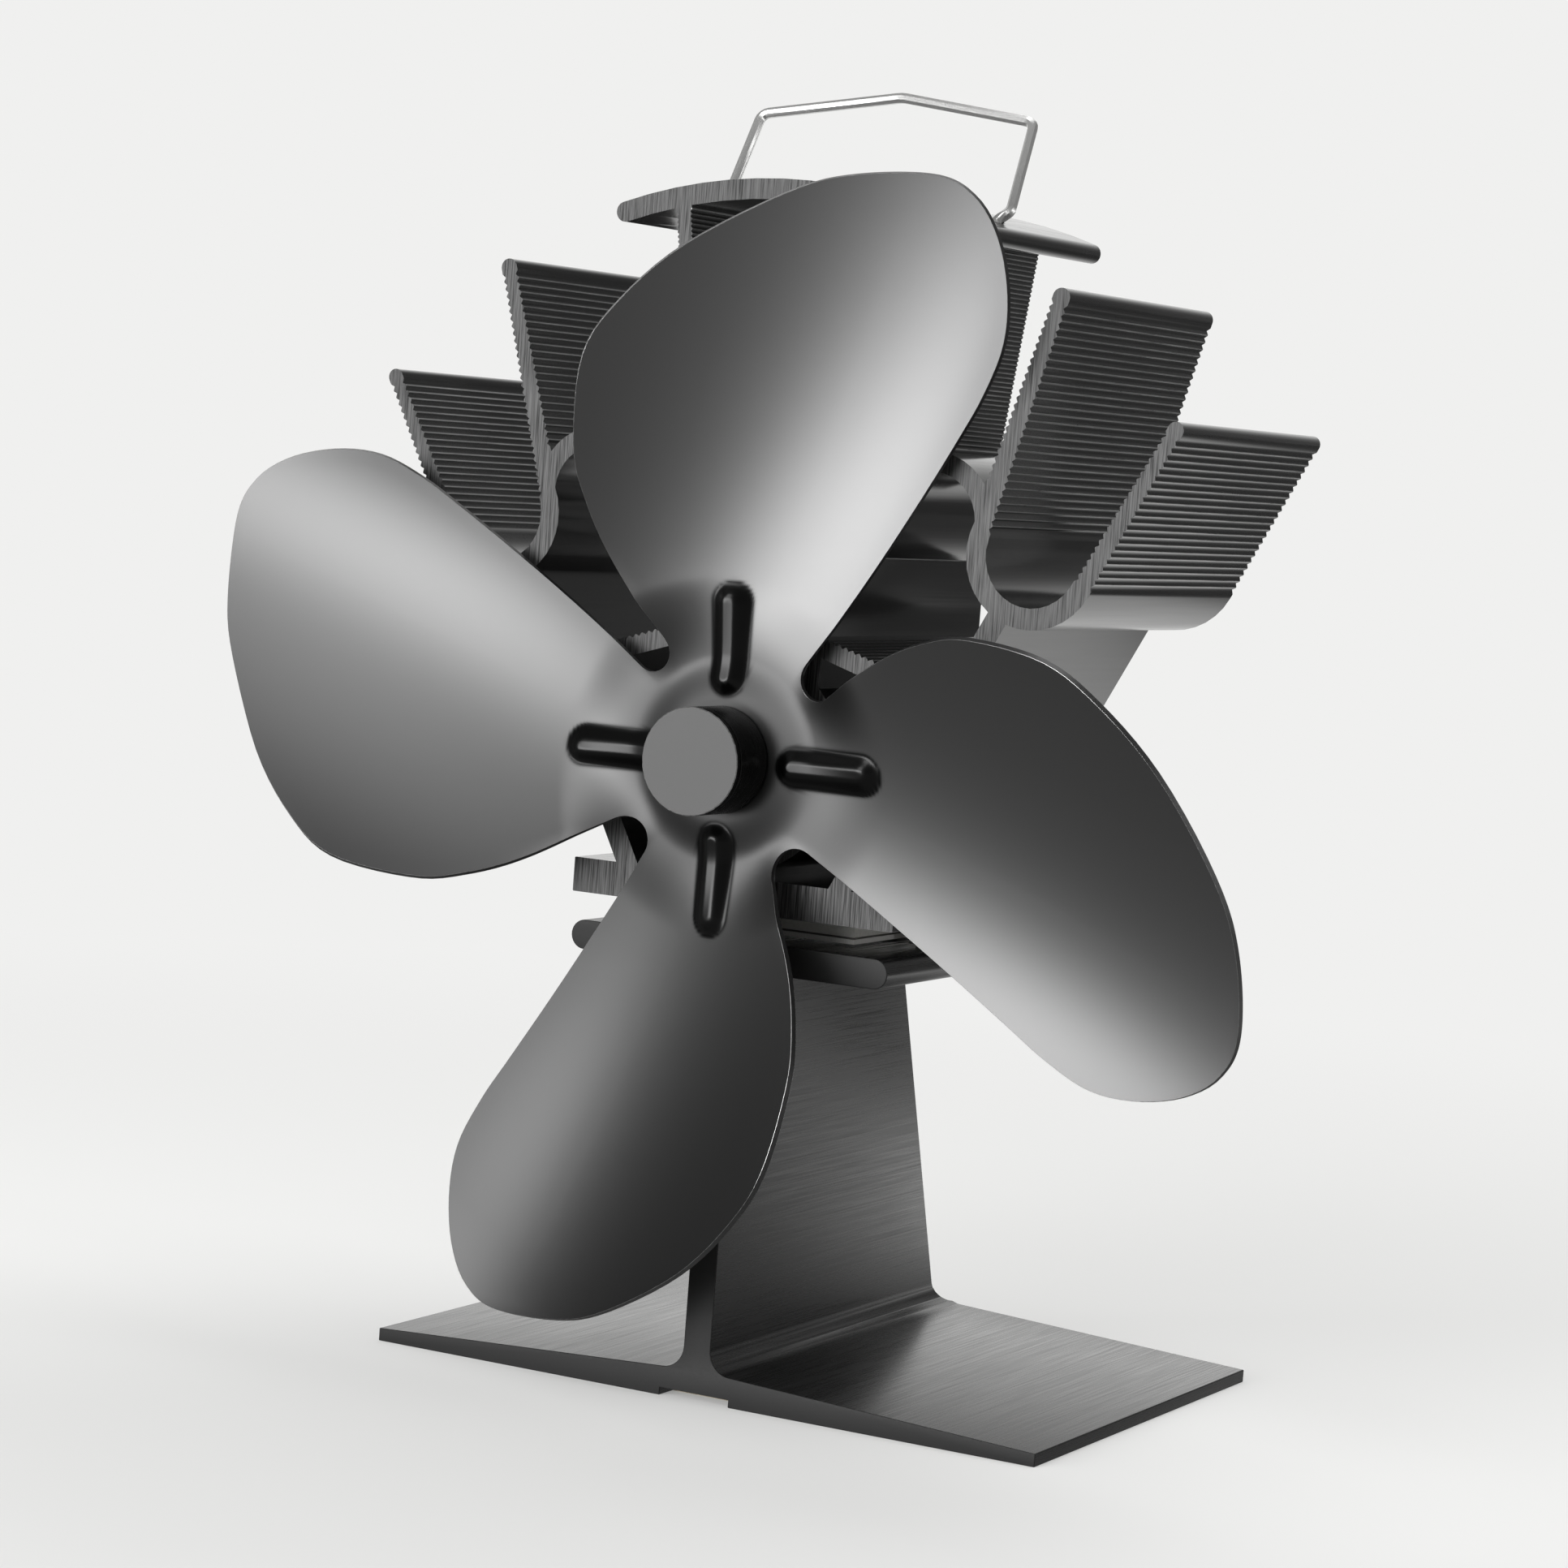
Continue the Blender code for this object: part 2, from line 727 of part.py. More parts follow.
def arm_edge(side):
    """Where an edge of the arm leaves the slab and where it meets the bend; side is 1 inwards."""
    half = arm_thickness / 2 * side
    at_slab = (arm_foot - half / arm_run[1], slab_top)
    back = math.sqrt(bend_outer ** 2 - half ** 2)
    at_bend = (bend_x - arm_run[0] * back - arm_run[1] * half, bend_z - arm_run[1] * back + arm_run[0] * half)
    return at_slab, at_bend


def under_cap(x):
    return (x, cap_centre[1] + math.sqrt((cap_radius - cap_thickness) ** 2 - x * x))


def outer_half():
    slab_foot, slab_bend = arm_edge(-1)
    points = [(0, slab_bottom), (slab_width / 2, slab_bottom), (slab_width / 2, slab_top), slab_foot]
    rise = tangent(bend, bend_outer, outer_tip, outer_tip_radius)
    fall = tangent(outer_tip, outer_tip_radius, bend, -bend_radius)
    climb = tangent(bend, -bend_radius, inner_tip, inner_tip_radius)
    notch = polar(lobe, arch_radius, notch_angle)
    descent = tangent(inner_tip, inner_tip_radius, notch, 0)
    points += arc(bend, bend_outer, angle_of(bend, slab_bend), angle_of(bend, rise[0]))
    points += ribbed(*rise)
    points += arc(outer_tip, outer_tip_radius, angle_of(outer_tip, rise[1]), angle_of(outer_tip, fall[0]))
    points += ribbed(*fall)
    points += arc(bend, bend_radius, angle_of(bend, fall[1]), angle_of(bend, climb[0]) - 2 * math.pi)
    points += ribbed(*climb)
    points += arc(inner_tip, inner_tip_radius, angle_of(inner_tip, climb[1]), angle_of(inner_tip, descent[0]))
    points += ribbed(*descent)
    points += arc(lobe, arch_radius, notch_angle, math.pi / 2)
    points += ribbed((column_half_at_arch, arch_top), under_cap(column_half_at_cap),
                     column_rib_pitch, column_rib_depth)
    end_radius = cap_thickness / 2
    middle = cap_radius - end_radius
    lean = math.asin((cap_half_width - end_radius) / middle)
    start = angle_of(cap_centre, under_cap(column_half_at_cap))
    points += arc(cap_centre, cap_radius - cap_thickness, start, math.pi / 2 - lean)
    points += arc(polar(cap_centre, middle, math.pi / 2 - lean), end_radius,
                  -math.pi / 2 - lean, math.pi / 2 - lean)
    points += arc(cap_centre, cap_radius, math.pi / 2 - lean, math.pi / 2)
    return points


def window():
    """Opening between column, arch, bend and roof on the right side, clockwise."""
    in_slab, in_bend = arm_edge(1)
    reach = math.dist(bend, lobe)
    across = (bend_outer ** 2 - lobe_radius ** 2 + reach ** 2) / (2 * reach)
    rise = math.sqrt(bend_outer ** 2 - across ** 2)
    toward = ((lobe_x - bend_x) / reach, (lobe_z - bend_z) / reach)
    waist = (bend_x + toward[0] * across + toward[1] * rise, bend_z + toward[1] * across - toward[0] * rise)
    roof_run = (math.cos(roof_slope), -math.sin(roof_slope))
    roof_start = (column_half_at_roof, roof_z)
    roof_end = meet(roof_start, roof_run, in_slab, arm_run)
    corner = (column_half_at_arch + lobe_radius, lobe_z)
    ridge_angle = math.asin((ridge_z - lobe_z) / lobe_radius)
    points = arc(lobe, lobe_radius, math.pi / 2, angle_of(lobe, waist))
    points += arc(bend, bend_outer, angle_of(bend, waist), angle_of(bend, in_bend) + 2 * math.pi)
    points += ribbed(roof_end, roof_start)
    points.append((column_half_at_roof, waist_z))
    points += arc(corner, lobe_radius, math.pi - ridge_angle, math.pi / 2)
    return points


def tube_top_angle(x):
    return math.acos(x / tube_outer)


def motor_cell():
    """Space beside the motor tube on the right side, clockwise."""
    in_slab, in_bend = arm_edge(1)
    web = tube_web / 2
    start = -math.acos(web / tube_outer)
    roof_run = (math.cos(roof_slope), -math.sin(roof_slope))
    ceiling = (column_half_at_roof, roof_z - roof_wall / roof_run[0])
    points = [(web, slab_top)]
    points += arc(axis, tube_outer, start, tube_top_angle(column_half_at_roof))
    points.append(ceiling)
    points.append(meet(ceiling, roof_run, in_slab, arm_run))
    points.append(in_slab)
    return points


def column_shaft():
    """Space inside the column from the motor tube up to the cap, clockwise."""
    low = column_half_at_roof - column_wall
    mid = (column_half_at_arch - column_wall, arch_top)
    top = under_cap(column_half_at_cap - column_wall)
    right = ribbed(top, mid, column_rib_pitch, column_rib_depth) + [(low, roof_z)]
    right += arc(axis, tube_outer, tube_top_angle(low), math.pi / 2)
    roof = arc(cap_centre, cap_radius - cap_thickness, math.pi / 2, angle_of(cap_centre, top))
    right = roof[:-1] + right
    return right + mirrored(right)


def make_sink():
    right = outer_half()
    bore = list(reversed(arc(axis, tube_bore, 0, 2 * math.pi)))
    loops = [right + mirrored(right), window(), mirrored(window()), motor_cell(), mirrored(motor_cell()),
             column_shaft(), bore]
    sink = prism("heat_sink", loops, front_y, sink_back_y, black_anodised)
    for side in (-1, 1):
        drill(sink, f"clamp_hole_{side}", screw_radius + fit, (side * screw_offset, front_y + sink_depth / 2),
              slab_bottom - overrun, slab_bottom + screw_bite + fit, "Z")
        half = (slot_length - slot_width) / 2
        radius = slot_width / 2
        slot = arc((side * slot_x, front_y + pivot_depth + half), radius, 0, math.pi)
        slot += arc((side * slot_x, front_y + pivot_depth - half), radius, math.pi, 2 * math.pi)
        bm = bmesh.new()
        add_prism(bm, [slot], pivot_z - hook_drop, cap_top, "Z")
        cut(sink, cutter(f"handle_slot_{side}", bm))
    for lead_x in (lead_near, lead_far):
        drill(sink, f"lead_hole_{lead_x:.4f}", lead_hole_radius, (lead_x, lead_hole_y),
              slab_bottom - overrun, axis_z, "Z")
    return sink


make_sink()


# Thermoelectric module in the gap, centred under the slab

cold_bottom = slab_bottom - fit - ceramic_thickness
hot_top = plate_top + fit + ceramic_thickness


def make_module():
    outline = rectangle(-half_module, half_module, module_y - half_module, module_y + half_module)
    prism("teg_hot_plate", [outline], plate_top + fit, hot_top, ceramic, "Z")
    prism("teg_cold_plate", [outline], cold_bottom, slab_bottom - fit, ceramic, "Z")
    inner = half_module - seal_width
    hole = rectangle(-inner, inner, module_y - inner, module_y + inner)
    prism("teg_edge_seal", [outline, list(reversed(hole))], hot_top + fit, cold_bottom - fit,
          white_silicone, "Z")


def make_thermocouples():
    """Legs in a chain to and fro over the plate, strapped together at bottom and top by turns."""
    low = hot_top + fit
    high = cold_bottom - fit
    half = leg_size / 2
    room = half_module - seal_width - fit - half
    places = [-room + 2 * room * i / (leg_rows - 1) for i in range(leg_rows)]
    chain = []
    for row, y in enumerate(places):
        columns = places if row % 2 == 0 else places[::-1]
        chain += [(x, module_y + y) for x in columns]
    legs = bmesh.new()
    straps = bmesh.new()
    for x, y in chain:
        add_prism(legs, [rectangle(x - half, x + half, y - half, y + half)], low + fit / 2, high - fit / 2, "Z")
    for i, (one, two) in enumerate(zip(chain, chain[1:])):
        bottom = low if i % 2 == 0 else high - strap_thickness
        reach = half - fit / 2
        strap = rectangle(min(one[0], two[0]) - reach, max(one[0], two[0]) + reach,
                          min(one[1], two[1]) - reach, max(one[1], two[1]) + reach)
        add_prism(straps, [strap], bottom, bottom + strap_thickness, "Z")
    part = add_object("teg_thermocouples", legs, semiconductor)
    union = part.modifiers.new("straps", "BOOLEAN")
    union.operation = "UNION"
    union.object = cutter("strap_shapes", straps)


make_module()
make_thermocouples()


# Clamp screws with their insulating bushes, one on each side

def make_clamp(side_name, side):
    centre = (side * screw_offset, front_y + sink_depth / 2)
    flange_bottom = flange_top - bush_flange_thickness
    head_top = flange_bottom - fit
    head_bottom = head_top - screw_head_height
    socket_top = head_bottom + screw_socket_depth
    screw_end = slab_bottom + screw_bite
    turned("clamp_screw_" + side_name,
           [(0, socket_top), (screw_socket, socket_top), (screw_socket, head_bottom),
            (screw_head_radius, head_bottom), (screw_head_radius, head_top), (screw_radius, head_top),
            (screw_radius, screw_end), (0, screw_end)], centre, zinc_steel, "Z", small_steps)
    turned("insulating_bush_" + side_name,
           [(bush_inner, flange_bottom), (bush_flange_radius, flange_bottom),
            (bush_flange_radius, flange_top), (bush_outer, flange_top),
            (bush_outer, plate_top), (bush_inner, plate_top)], centre, mica_plastic, "Z", small_steps)


make_clamp("left", -1)
make_clamp("right", 1)


# Motor, its axis along Y in the tube of the heat sink

can_front = front_y + motor_setback
can_back = can_front + motor_length
front_bearing_y = can_front - boss_height + can_wall
cap_front = can_back + fit
cap_back = cap_front + end_cap_thickness
rear_bearing_y = cap_front + fit
magnet_outer = motor_radius - can_wall - fit
magnet_inner = magnet_outer - magnet_thickness
core_radius = magnet_inner - air_gap
core_centre = can_front + motor_length / 2 - core_forward
core_front = core_centre - core_length / 2
core_back = core_centre + core_length / 2
commutator_front = core_back + fit + coil_overhang + fit


def make_motor_case():
    inner = motor_radius - can_wall
    seat = bearing_radius + fit
    turned("motor_can",
           [(seat, can_front - boss_height), (boss_radius, can_front - boss_height), (boss_radius, can_front),
            (motor_radius - can_wall, can_front), (motor_radius, can_front + can_wall), (motor_radius, can_back),
            (inner, can_back), (inner, can_front + can_wall), (boss_radius, can_front + can_wall),
            (boss_radius, front_bearing_y + bearing_length), (seat, front_bearing_y + bearing_length)],
           axis, motor_steel, steps=motor_steps)
    turned("motor_end_cap",
           [(seat, cap_front), (motor_radius, cap_front), (motor_radius, cap_back - can_wall),
            (motor_radius - can_wall, cap_back), (seat, cap_back)],
           axis, motor_plastic, steps=motor_steps)
    turned("motor_sleeve",
           tube_outline(motor_radius + fit, motor_radius + fit + sleeve_thickness,
                        can_front + motor_length / 2 - sleeve_length / 2,
                        can_front + motor_length / 2 + sleeve_length / 2),
           axis, grey_silicone, steps=motor_steps)
    bore = shaft_radius + fit
    turned("motor_front_bearing", tube_outline(bore, bearing_radius, front_bearing_y,
                                               front_bearing_y + bearing_length),
           axis, bronze, steps=small_steps)
    turned("motor_rear_bearing", tube_outline(bore, bearing_radius, rear_bearing_y,
                                              cap_back - fit), axis, bronze, steps=small_steps)
    for name, middle in (("motor_magnet_left", math.pi), ("motor_magnet_right", 0)):
        start = middle - magnet_span / 2
        end = middle + magnet_span / 2
        shell = arc(axis, magnet_outer, start, end) + arc(axis, magnet_inner, end, start)
        prism(name, [shell], core_centre - magnet_length / 2, core_centre + magnet_length / 2, ferrite)


def make_motor_contacts(side_name, side):
    """Leaf brush beside the commutator and terminal tab behind the end cap."""
    inner = side * (commutator_radius + fit)
    outer = inner + side * brush_thickness
    leaf = rectangle(min(inner, outer), max(inner, outer), axis_z - brush_width / 2, axis_z + brush_width / 2)
    prism("motor_brush_" + side_name, [leaf], commutator_front, can_back, copper)
    centre = side * terminal_offset
    tab = rectangle(centre - terminal_width / 2, centre + terminal_width / 2,
                    axis_z - terminal_thickness / 2, axis_z + terminal_thickness / 2)
    prism("motor_terminal_" + side_name, [tab], cap_back + fit, cap_back + fit + terminal_length, brass)


def core_outline():
    """Laminated core with straight necks and curved pole shoes, counter-clockwise."""
    points = []
    step = 2 * math.pi / pole_count
    neck = pole_neck / 2
    shoe_inner = core_radius - pole_shoe
    spread = (step - pole_slot) / 2
    for pole in range(pole_count):
        middle = math.pi / 2 + pole * step
        foot = math.asin(neck / core_hub_radius)
        head = math.asin(neck / shoe_inner)
        points.append(polar(axis, core_hub_radius, middle - foot))
        points += arc(axis, shoe_inner, middle - head, middle - spread)
        points += arc(axis, core_radius, middle - spread, middle + spread)
        points += arc(axis, shoe_inner, middle + spread, middle + head)
        points.append(polar(axis, core_hub_radius, middle + foot))
    return points


def make_coil(pole):
    """Winding around one pole's neck, set on the axis and turned to its pole."""
    inner = pole_neck / 2 + fit
    outer = inner + coil_thickness
    low = core_hub_radius + coil_thickness
    high = core_radius - pole_shoe - fit - coil_thickness / 2
    ring = rectangle(-outer, outer, core_front - fit - coil_overhang, core_back + fit + coil_overhang)
    opening = rectangle(-inner, inner, core_front - fit, core_back + fit)
    coil = prism(f"armature_coil_{pole + 1}", [ring, list(reversed(opening))], low, high, copper, "Z")
    coil.data.transform(Matrix.Translation((0, -front_y, 0)))
    coil.location = hub_axis_point
    coil.rotation_euler = (0, 2 * math.pi * pole / pole_count, 0)


def make_armature():
    bore = shaft_radius + fit
    hole = list(reversed(arc(axis, bore, 0, 2 * math.pi)))
    core = prism("armature_core", [core_outline(), hole], core_front, core_back, laminated_steel)
    drum = turned("commutator", tube_outline(bore, commutator_radius, commutator_front,
                                             commutator_front + commutator_length),
                  axis, copper, steps=small_steps)
    spacer = turned("shaft_spacer", tube_outline(bore, spacer_radius,
                                                 front_bearing_y + bearing_length + fit, core_front - fit),
                    axis, brass, steps=small_steps)
    shaft = turned("motor_shaft", rod_outline(shaft_radius, front_y - shaft_reach, cap_back + shaft_tail),
                   axis, zinc_steel, steps=small_steps)
    for part in (core, drum, spacer, shaft):
        rest_on_axis(part, hub_axis_point)
    for pole in range(pole_count):
        make_coil(pole)


make_motor_case()
make_motor_contacts("left", -1)
make_motor_contacts("right", 1)
make_armature()


# Leads: out of the module's back edge, up through the slab and the tube, forward to the terminals

def lead_route(x, side):
    y = lead_hole_y
    start = module_y + half_module + fit
    middle_z = (hot_top + cold_bottom) / 2
    turn = lead_rise_radius
    points = [(x, start, middle_z), (x, (start + y - turn) / 2, middle_z), (x, y - turn, middle_z)]
    for step in range(1, lead_rise_steps + 1):
        angle = math.pi / 2 * step / lead_rise_steps
        points.append((x, y - turn + turn * math.sin(angle), middle_z + turn - turn * math.cos(angle)))
    points.append((x, y, axis_z - tube_outer))
    points.append((x, y, axis_z - tube_bore))
    end_x = side * terminal_offset
    end_y = cap_back + fit + terminal_length + fit
    first_lean, last_lean = lead_lean_shares
    points.append((x + (end_x - x) * first_lean, y - lead_radius, axis_z - tube_bore / 2))
    points.append((x + (end_x - x) * last_lean, y - turn, axis_z - turn / 2))
    points.append((end_x, end_y + 2 * lead_radius, axis_z))
    points.append((end_x, end_y, axis_z))
    return points


def make_lead(name, route, material):
    lengths = [math.dist(a, b) for a, b in zip(route, route[1:])]
    smooth = []
    for i, length in enumerate(lengths):
        steps = max(1, round(length / lead_point_spacing))
        smooth += [smooth_curve(route, i + k / steps) for k in range(steps)]
    smooth.append(route[-1])
    curve = bpy.data.curves.new(name, "CURVE")
    curve.dimensions = "3D"
    spline = curve.splines.new("POLY")
    spline.points.add(len(smooth) - 1)
    for point, place in zip(spline.points, smooth):
        point.co = (*place, 1)
    curve.bevel_depth = lead_radius
    curve.bevel_resolution = wire_steps
    curve.use_fill_caps = True
    curve.materials.append(material)
    part = bpy.data.objects.new(name, curve)
    bpy.context.scene.collection.objects.link(part)
    return part


make_lead("lead_positive", lead_route(lead_near, -1), red_insulation)
make_lead("lead_negative", lead_route(lead_far, 1), black_insulation)


# Carrying handle: bent wire in its own plane, leaning back in its slots

def rounded_path(points, radii):
    """Polyline with an arc of the given radius at each inner corner."""
    points = [Vector(point) for point in points]
    path = [points[0]]
    for before, corner, after, radius in zip(points, points[1:], points[2:], radii):
        back = (before - corner).normalized()
        ahead = (after - corner).normalized()
        half = back.angle(ahead) / 2
        sweep = math.pi - 2 * half
        start = corner + back * (radius / math.tan(half))
        inwards = (ahead - back * back.dot(ahead)).normalized()
        centre = start + inwards * radius
        steps = max(2, math.ceil(sweep / (2 * arc_step)))
        for k in range(steps + 1):
            turn = sweep * k / steps
            path.append(centre - inwards * (radius * math.cos(turn)) - back * (radius * math.sin(turn)))
    path.append(points[-1])
    return path


def make_handle():
    right = [(hook_end_x, 0, -hook_drop), (slot_x, 0, -hook_drop), (slot_x, 0, leg_neck),
             (leg_foot_x, 0, leg_foot), (leg_top_x, 0, leg_height), (0, 0, apex_height)]
    left = [(-x, y, z) for x, y, z in reversed(right[:-1])]
    bends = [hook_bend, neck_bend, neck_bend, corner_bend]
    radii = bends + [apex_bend] + bends[::-1]
    path = rounded_path(right + left, radii)
    curve = bpy.data.curves.new("carry_handle", "CURVE")
    curve.dimensions = "3D"
    spline = curve.splines.new("POLY")
    spline.points.add(len(path) - 1)
    for point, place in zip(spline.points, path):
        point.co = (*place, 1)
    curve.bevel_depth = wire_radius
    curve.bevel_resolution = wire_steps
    curve.use_fill_caps = True
    curve.materials.append(stainless)
    handle = bpy.data.objects.new("carry_handle", curve)
    handle.location = (0, front_y + pivot_depth, pivot_z)
    handle.rotation_euler = (-handle_tilt, 0, 0)
    bpy.context.scene.collection.objects.link(handle)
    return handle


make_handle()


# Fan sheet, hub, its front cap, the clamping ring behind the sheet and the grub screw

def make_fan():
    bm = bmesh.new()
    front = [bm.verts.new((x, front_y + offset, axis_z + z)) for x, z, offset in sheet_places]
    back = [bm.verts.new((x, front_y + offset + sheet_thickness, axis_z + z)) for x, z, offset in sheet_places]
    edge_use = {}
    for face in sheet_faces:
        bm.faces.new([front[i] for i in face])
        bm.faces.new([back[i] for i in reversed(face)])
        for a, b in zip(face, face[1:] + face[:1]):
            edge_use[(a, b)] = True
    for a, b in edge_use:
        if (b, a) not in edge_use:
            bm.faces.new((front[b], front[a], back[a], back[b]))
    return add_object("fan_blades", bm, satin_sheet, 40 * degree)


def make_hub():
    face = front_y - hub_front
    seam = face + hub_cap_thickness
    shoulder = front_y - sheet_front - dome_height - fit
    spigot_back = front_y - spigot_end
    bore = shaft_radius + fit
    bore_end = front_y - shaft_reach - fit
    hub = turned("hub_body",
                 [(0, seam + fit), (hub_radius, seam + fit), (hub_radius, shoulder), (spigot_radius, shoulder),
                  (spigot_radius, spigot_back), (bore, spigot_back), (bore, bore_end), (0, bore_end)],
                 axis, hub_grey)
    drill(hub, "grub_hole", grub_radius + fit, (front_y - grub_depth, axis_z), -hub_radius - overrun, 0, "X")
    front_cap = turned("hub_cap", rod_outline(hub_radius, face, seam), axis, hub_grey)
    ring_front = front_y - sheet_front - dome_height + sheet_thickness + fit
    ring = turned("blade_retaining_ring", tube_outline(spigot_radius + fit, ring_radius, ring_front,
                                                       ring_front + ring_thickness), axis, zinc_steel)
    grub_tip = -(shaft_radius + fit)
    grub = turned("hub_grub_screw", rod_outline(grub_radius, grub_tip - grub_length, grub_tip),
                  (front_y - grub_depth, axis_z), zinc_steel, "X", small_steps)
    return [hub, front_cap, ring, grub]


for rotor_part in [make_fan()] + make_hub():
    rest_on_axis(rotor_part, hub_axis_point)
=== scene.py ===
# Stove fan: looks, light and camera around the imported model.
# Lengths are in metres where no note says mm, +Z is up, and the fan looks along -Y.

import json
import math

import bmesh
import bpy
from mathutils import Matrix, Vector

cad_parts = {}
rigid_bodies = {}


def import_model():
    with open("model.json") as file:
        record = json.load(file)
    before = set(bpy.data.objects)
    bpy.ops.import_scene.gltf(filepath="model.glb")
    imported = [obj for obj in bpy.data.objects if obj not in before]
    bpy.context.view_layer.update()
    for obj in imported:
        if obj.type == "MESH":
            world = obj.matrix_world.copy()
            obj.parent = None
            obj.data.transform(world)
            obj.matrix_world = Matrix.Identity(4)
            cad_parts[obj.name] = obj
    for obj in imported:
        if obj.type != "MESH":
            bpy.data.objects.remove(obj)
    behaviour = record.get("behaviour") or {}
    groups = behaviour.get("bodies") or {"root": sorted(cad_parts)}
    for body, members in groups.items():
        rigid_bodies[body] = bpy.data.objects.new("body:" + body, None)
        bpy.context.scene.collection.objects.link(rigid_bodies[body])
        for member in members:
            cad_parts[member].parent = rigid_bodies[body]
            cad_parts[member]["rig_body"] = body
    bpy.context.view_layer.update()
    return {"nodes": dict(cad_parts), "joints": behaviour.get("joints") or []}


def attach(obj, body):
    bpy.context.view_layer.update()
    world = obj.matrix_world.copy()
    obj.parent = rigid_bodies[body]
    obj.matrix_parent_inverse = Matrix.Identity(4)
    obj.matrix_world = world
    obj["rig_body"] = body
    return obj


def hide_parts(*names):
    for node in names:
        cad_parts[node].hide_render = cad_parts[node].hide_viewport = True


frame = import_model()
nodes = frame["nodes"]
scene = bpy.context.scene
mm = 0.001
sideSlot, endSlot, edgeSlot = 0, 1, 2  # material slots of a dressed piece: broad faces, cut ends, eased edges
print("model loaded:", len(nodes), "nodes")


# Small helpers

def hexColour(code):
    # sRGB hex to the linear colour that shaders take
    channels = [int(code[i:i + 2], 16) / 255 for i in (1, 3, 5)]
    linear = [c / 12.92 if c <= 0.04045 else ((c + 0.055) / 1.055) ** 2.4 for c in channels]
    return (*linear, 1)


def addNode(tree, kind, settings=None, inputs=None):
    # one node with its settings; an input is a value or the socket that feeds it
    node = tree.nodes.new(kind)
    for name, value in (settings or {}).items():
        setattr(node, name, value)
    for name, value in (inputs or {}).items():
        if isinstance(value, bpy.types.NodeSocket):
            tree.links.new(value, node.inputs[name])
        else:
            node.inputs[name].default_value = value
    return node


def smoothRange(tree, value, fade, low, high):
    # goes softly from low to high while the value passes through the fade
    node = addNode(tree, "ShaderNodeMapRange", {"interpolation_type": "SMOOTHSTEP"}, {
        "Value": value, "From Min": fade[0], "From Max": fade[1], "To Min": low, "To Max": high})
    return node.outputs["Result"]


def mixed(tree, kind, share, first, second):
    # the first where the share is 0 and the second where it is 1; kind is FLOAT or RGBA
    node = addNode(tree, "ShaderNodeMix", {"data_type": kind}, {"Factor": share, "A": first, "B": second})
    return node.outputs["Result"]


def addPiece(name, mesh, body, *materials):
    piece = bpy.data.objects.new(name, mesh)
    scene.collection.objects.link(piece)
    for material in materials:
        mesh.materials.append(material)
    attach(piece, body)
    return piece


def plainMesh(piece):
    # modifiers turned into the piece's own mesh
    evaluated = piece.evaluated_get(bpy.context.evaluated_depsgraph_get())
    mesh = bpy.data.meshes.new_from_object(evaluated)
    mesh.name = piece.name
    piece.modifiers.clear()
    piece.data = mesh


def easeEdges(piece, weights, width, segments, clamp):
    # bevels the edges of weight 1 by a width in mm, the new strips in the edge slot
    piece.data.attributes.new("bevel_weight_edge", "FLOAT", "EDGE").data.foreach_set("value", weights)
    ease = piece.modifiers.new("easedEdges", "BEVEL")
    ease.width = width * mm
    ease.segments = segments
    ease.limit_method = "WEIGHT"
    ease.use_clamp_overlap = clamp
    ease.material = edgeSlot
    plainMesh(piece)


def shadeSmooth(piece, sharpFrom):
    # smooth shading, broken where faces meet at more than this many degrees
    piece.data.shade_smooth()
    piece.data.set_sharp_from_angle(angle=math.radians(sharpFrom))


# Camera, at the photograph's view

cameraView = {
    "place": (0.29150, -0.56515, 0.13684),
    "right": (0.87870, 0.47152, 0.07457),
    "up": (-0.10187, 0.03261, 0.99426),
    "lens": 98.88,             # mm
    "sensor": 36.0,            # mm
    "nearest": 0.01,           # nothing nearer than this is drawn
}


def makeCamera():
    data = bpy.data.cameras.new("photoCamera")
    data.lens = cameraView["lens"]
    data.sensor_width = cameraView["sensor"]
    data.clip_start = cameraView["nearest"]
    camera = bpy.data.objects.new("photoCamera", data)
    scene.collection.objects.link(camera)
    right = Vector(cameraView["right"]).normalized()
    up = Vector(cameraView["up"])
    up = (up - right * up.dot(right)).normalized()
    back = right.cross(up)
    turn = Matrix((right, up, back)).transposed()
    camera.matrix_world = Matrix.Translation(cameraView["place"]) @ turn.to_4x4()
    scene.camera = camera


makeCamera()
print("camera placed")


# Room around the fan, with one bright backdrop for the metal to mirror

room = {
    "background": "#f0f0ef",
    "fill": 0.50,              # light of the room on matt surfaces
    "dark": 0.15,              # what metal sees away from the backdrop
    "bright": 1.35,            # and straight towards it
    "way": (-0.47, 0.88, 0.0),
    "fade": (0.62, 0.92),      # cosines off that way between which the backdrop comes in
}


def makeWorld():
    world = bpy.data.worlds.new("studioRoom")
    scene.world = world
    world.use_nodes = True
    tree = world.node_tree
    tree.nodes.clear()
    way = addNode(tree, "ShaderNodeTexCoord")
    toBackdrop = addNode(tree, "ShaderNodeVectorMath", {"operation": "DOT_PRODUCT"},
                         {0: way.outputs["Generated"], 1: room["way"]})
    backdrop = smoothRange(tree, toBackdrop.outputs["Value"], room["fade"], room["dark"], room["bright"])
    path = addNode(tree, "ShaderNodeLightPath")
    seen = addNode(tree, "ShaderNodeMath", {"operation": "MAXIMUM"}, {
        0: path.outputs["Is Glossy Ray"], 1: path.outputs["Is Transmission Ray"]})
    reflected = mixed(tree, "FLOAT", seen.outputs[0], room["fill"], backdrop)
    strength = mixed(tree, "FLOAT", path.outputs["Is Camera Ray"], reflected, 1.0)
    light = addNode(tree, "ShaderNodeBackground", None, {
        "Color": hexColour(room["background"]), "Strength": strength})
    addNode(tree, "ShaderNodeOutputWorld", None, {"Surface": light.outputs[0]})


# Floor, pale paper that fades into the backdrop away from the fan

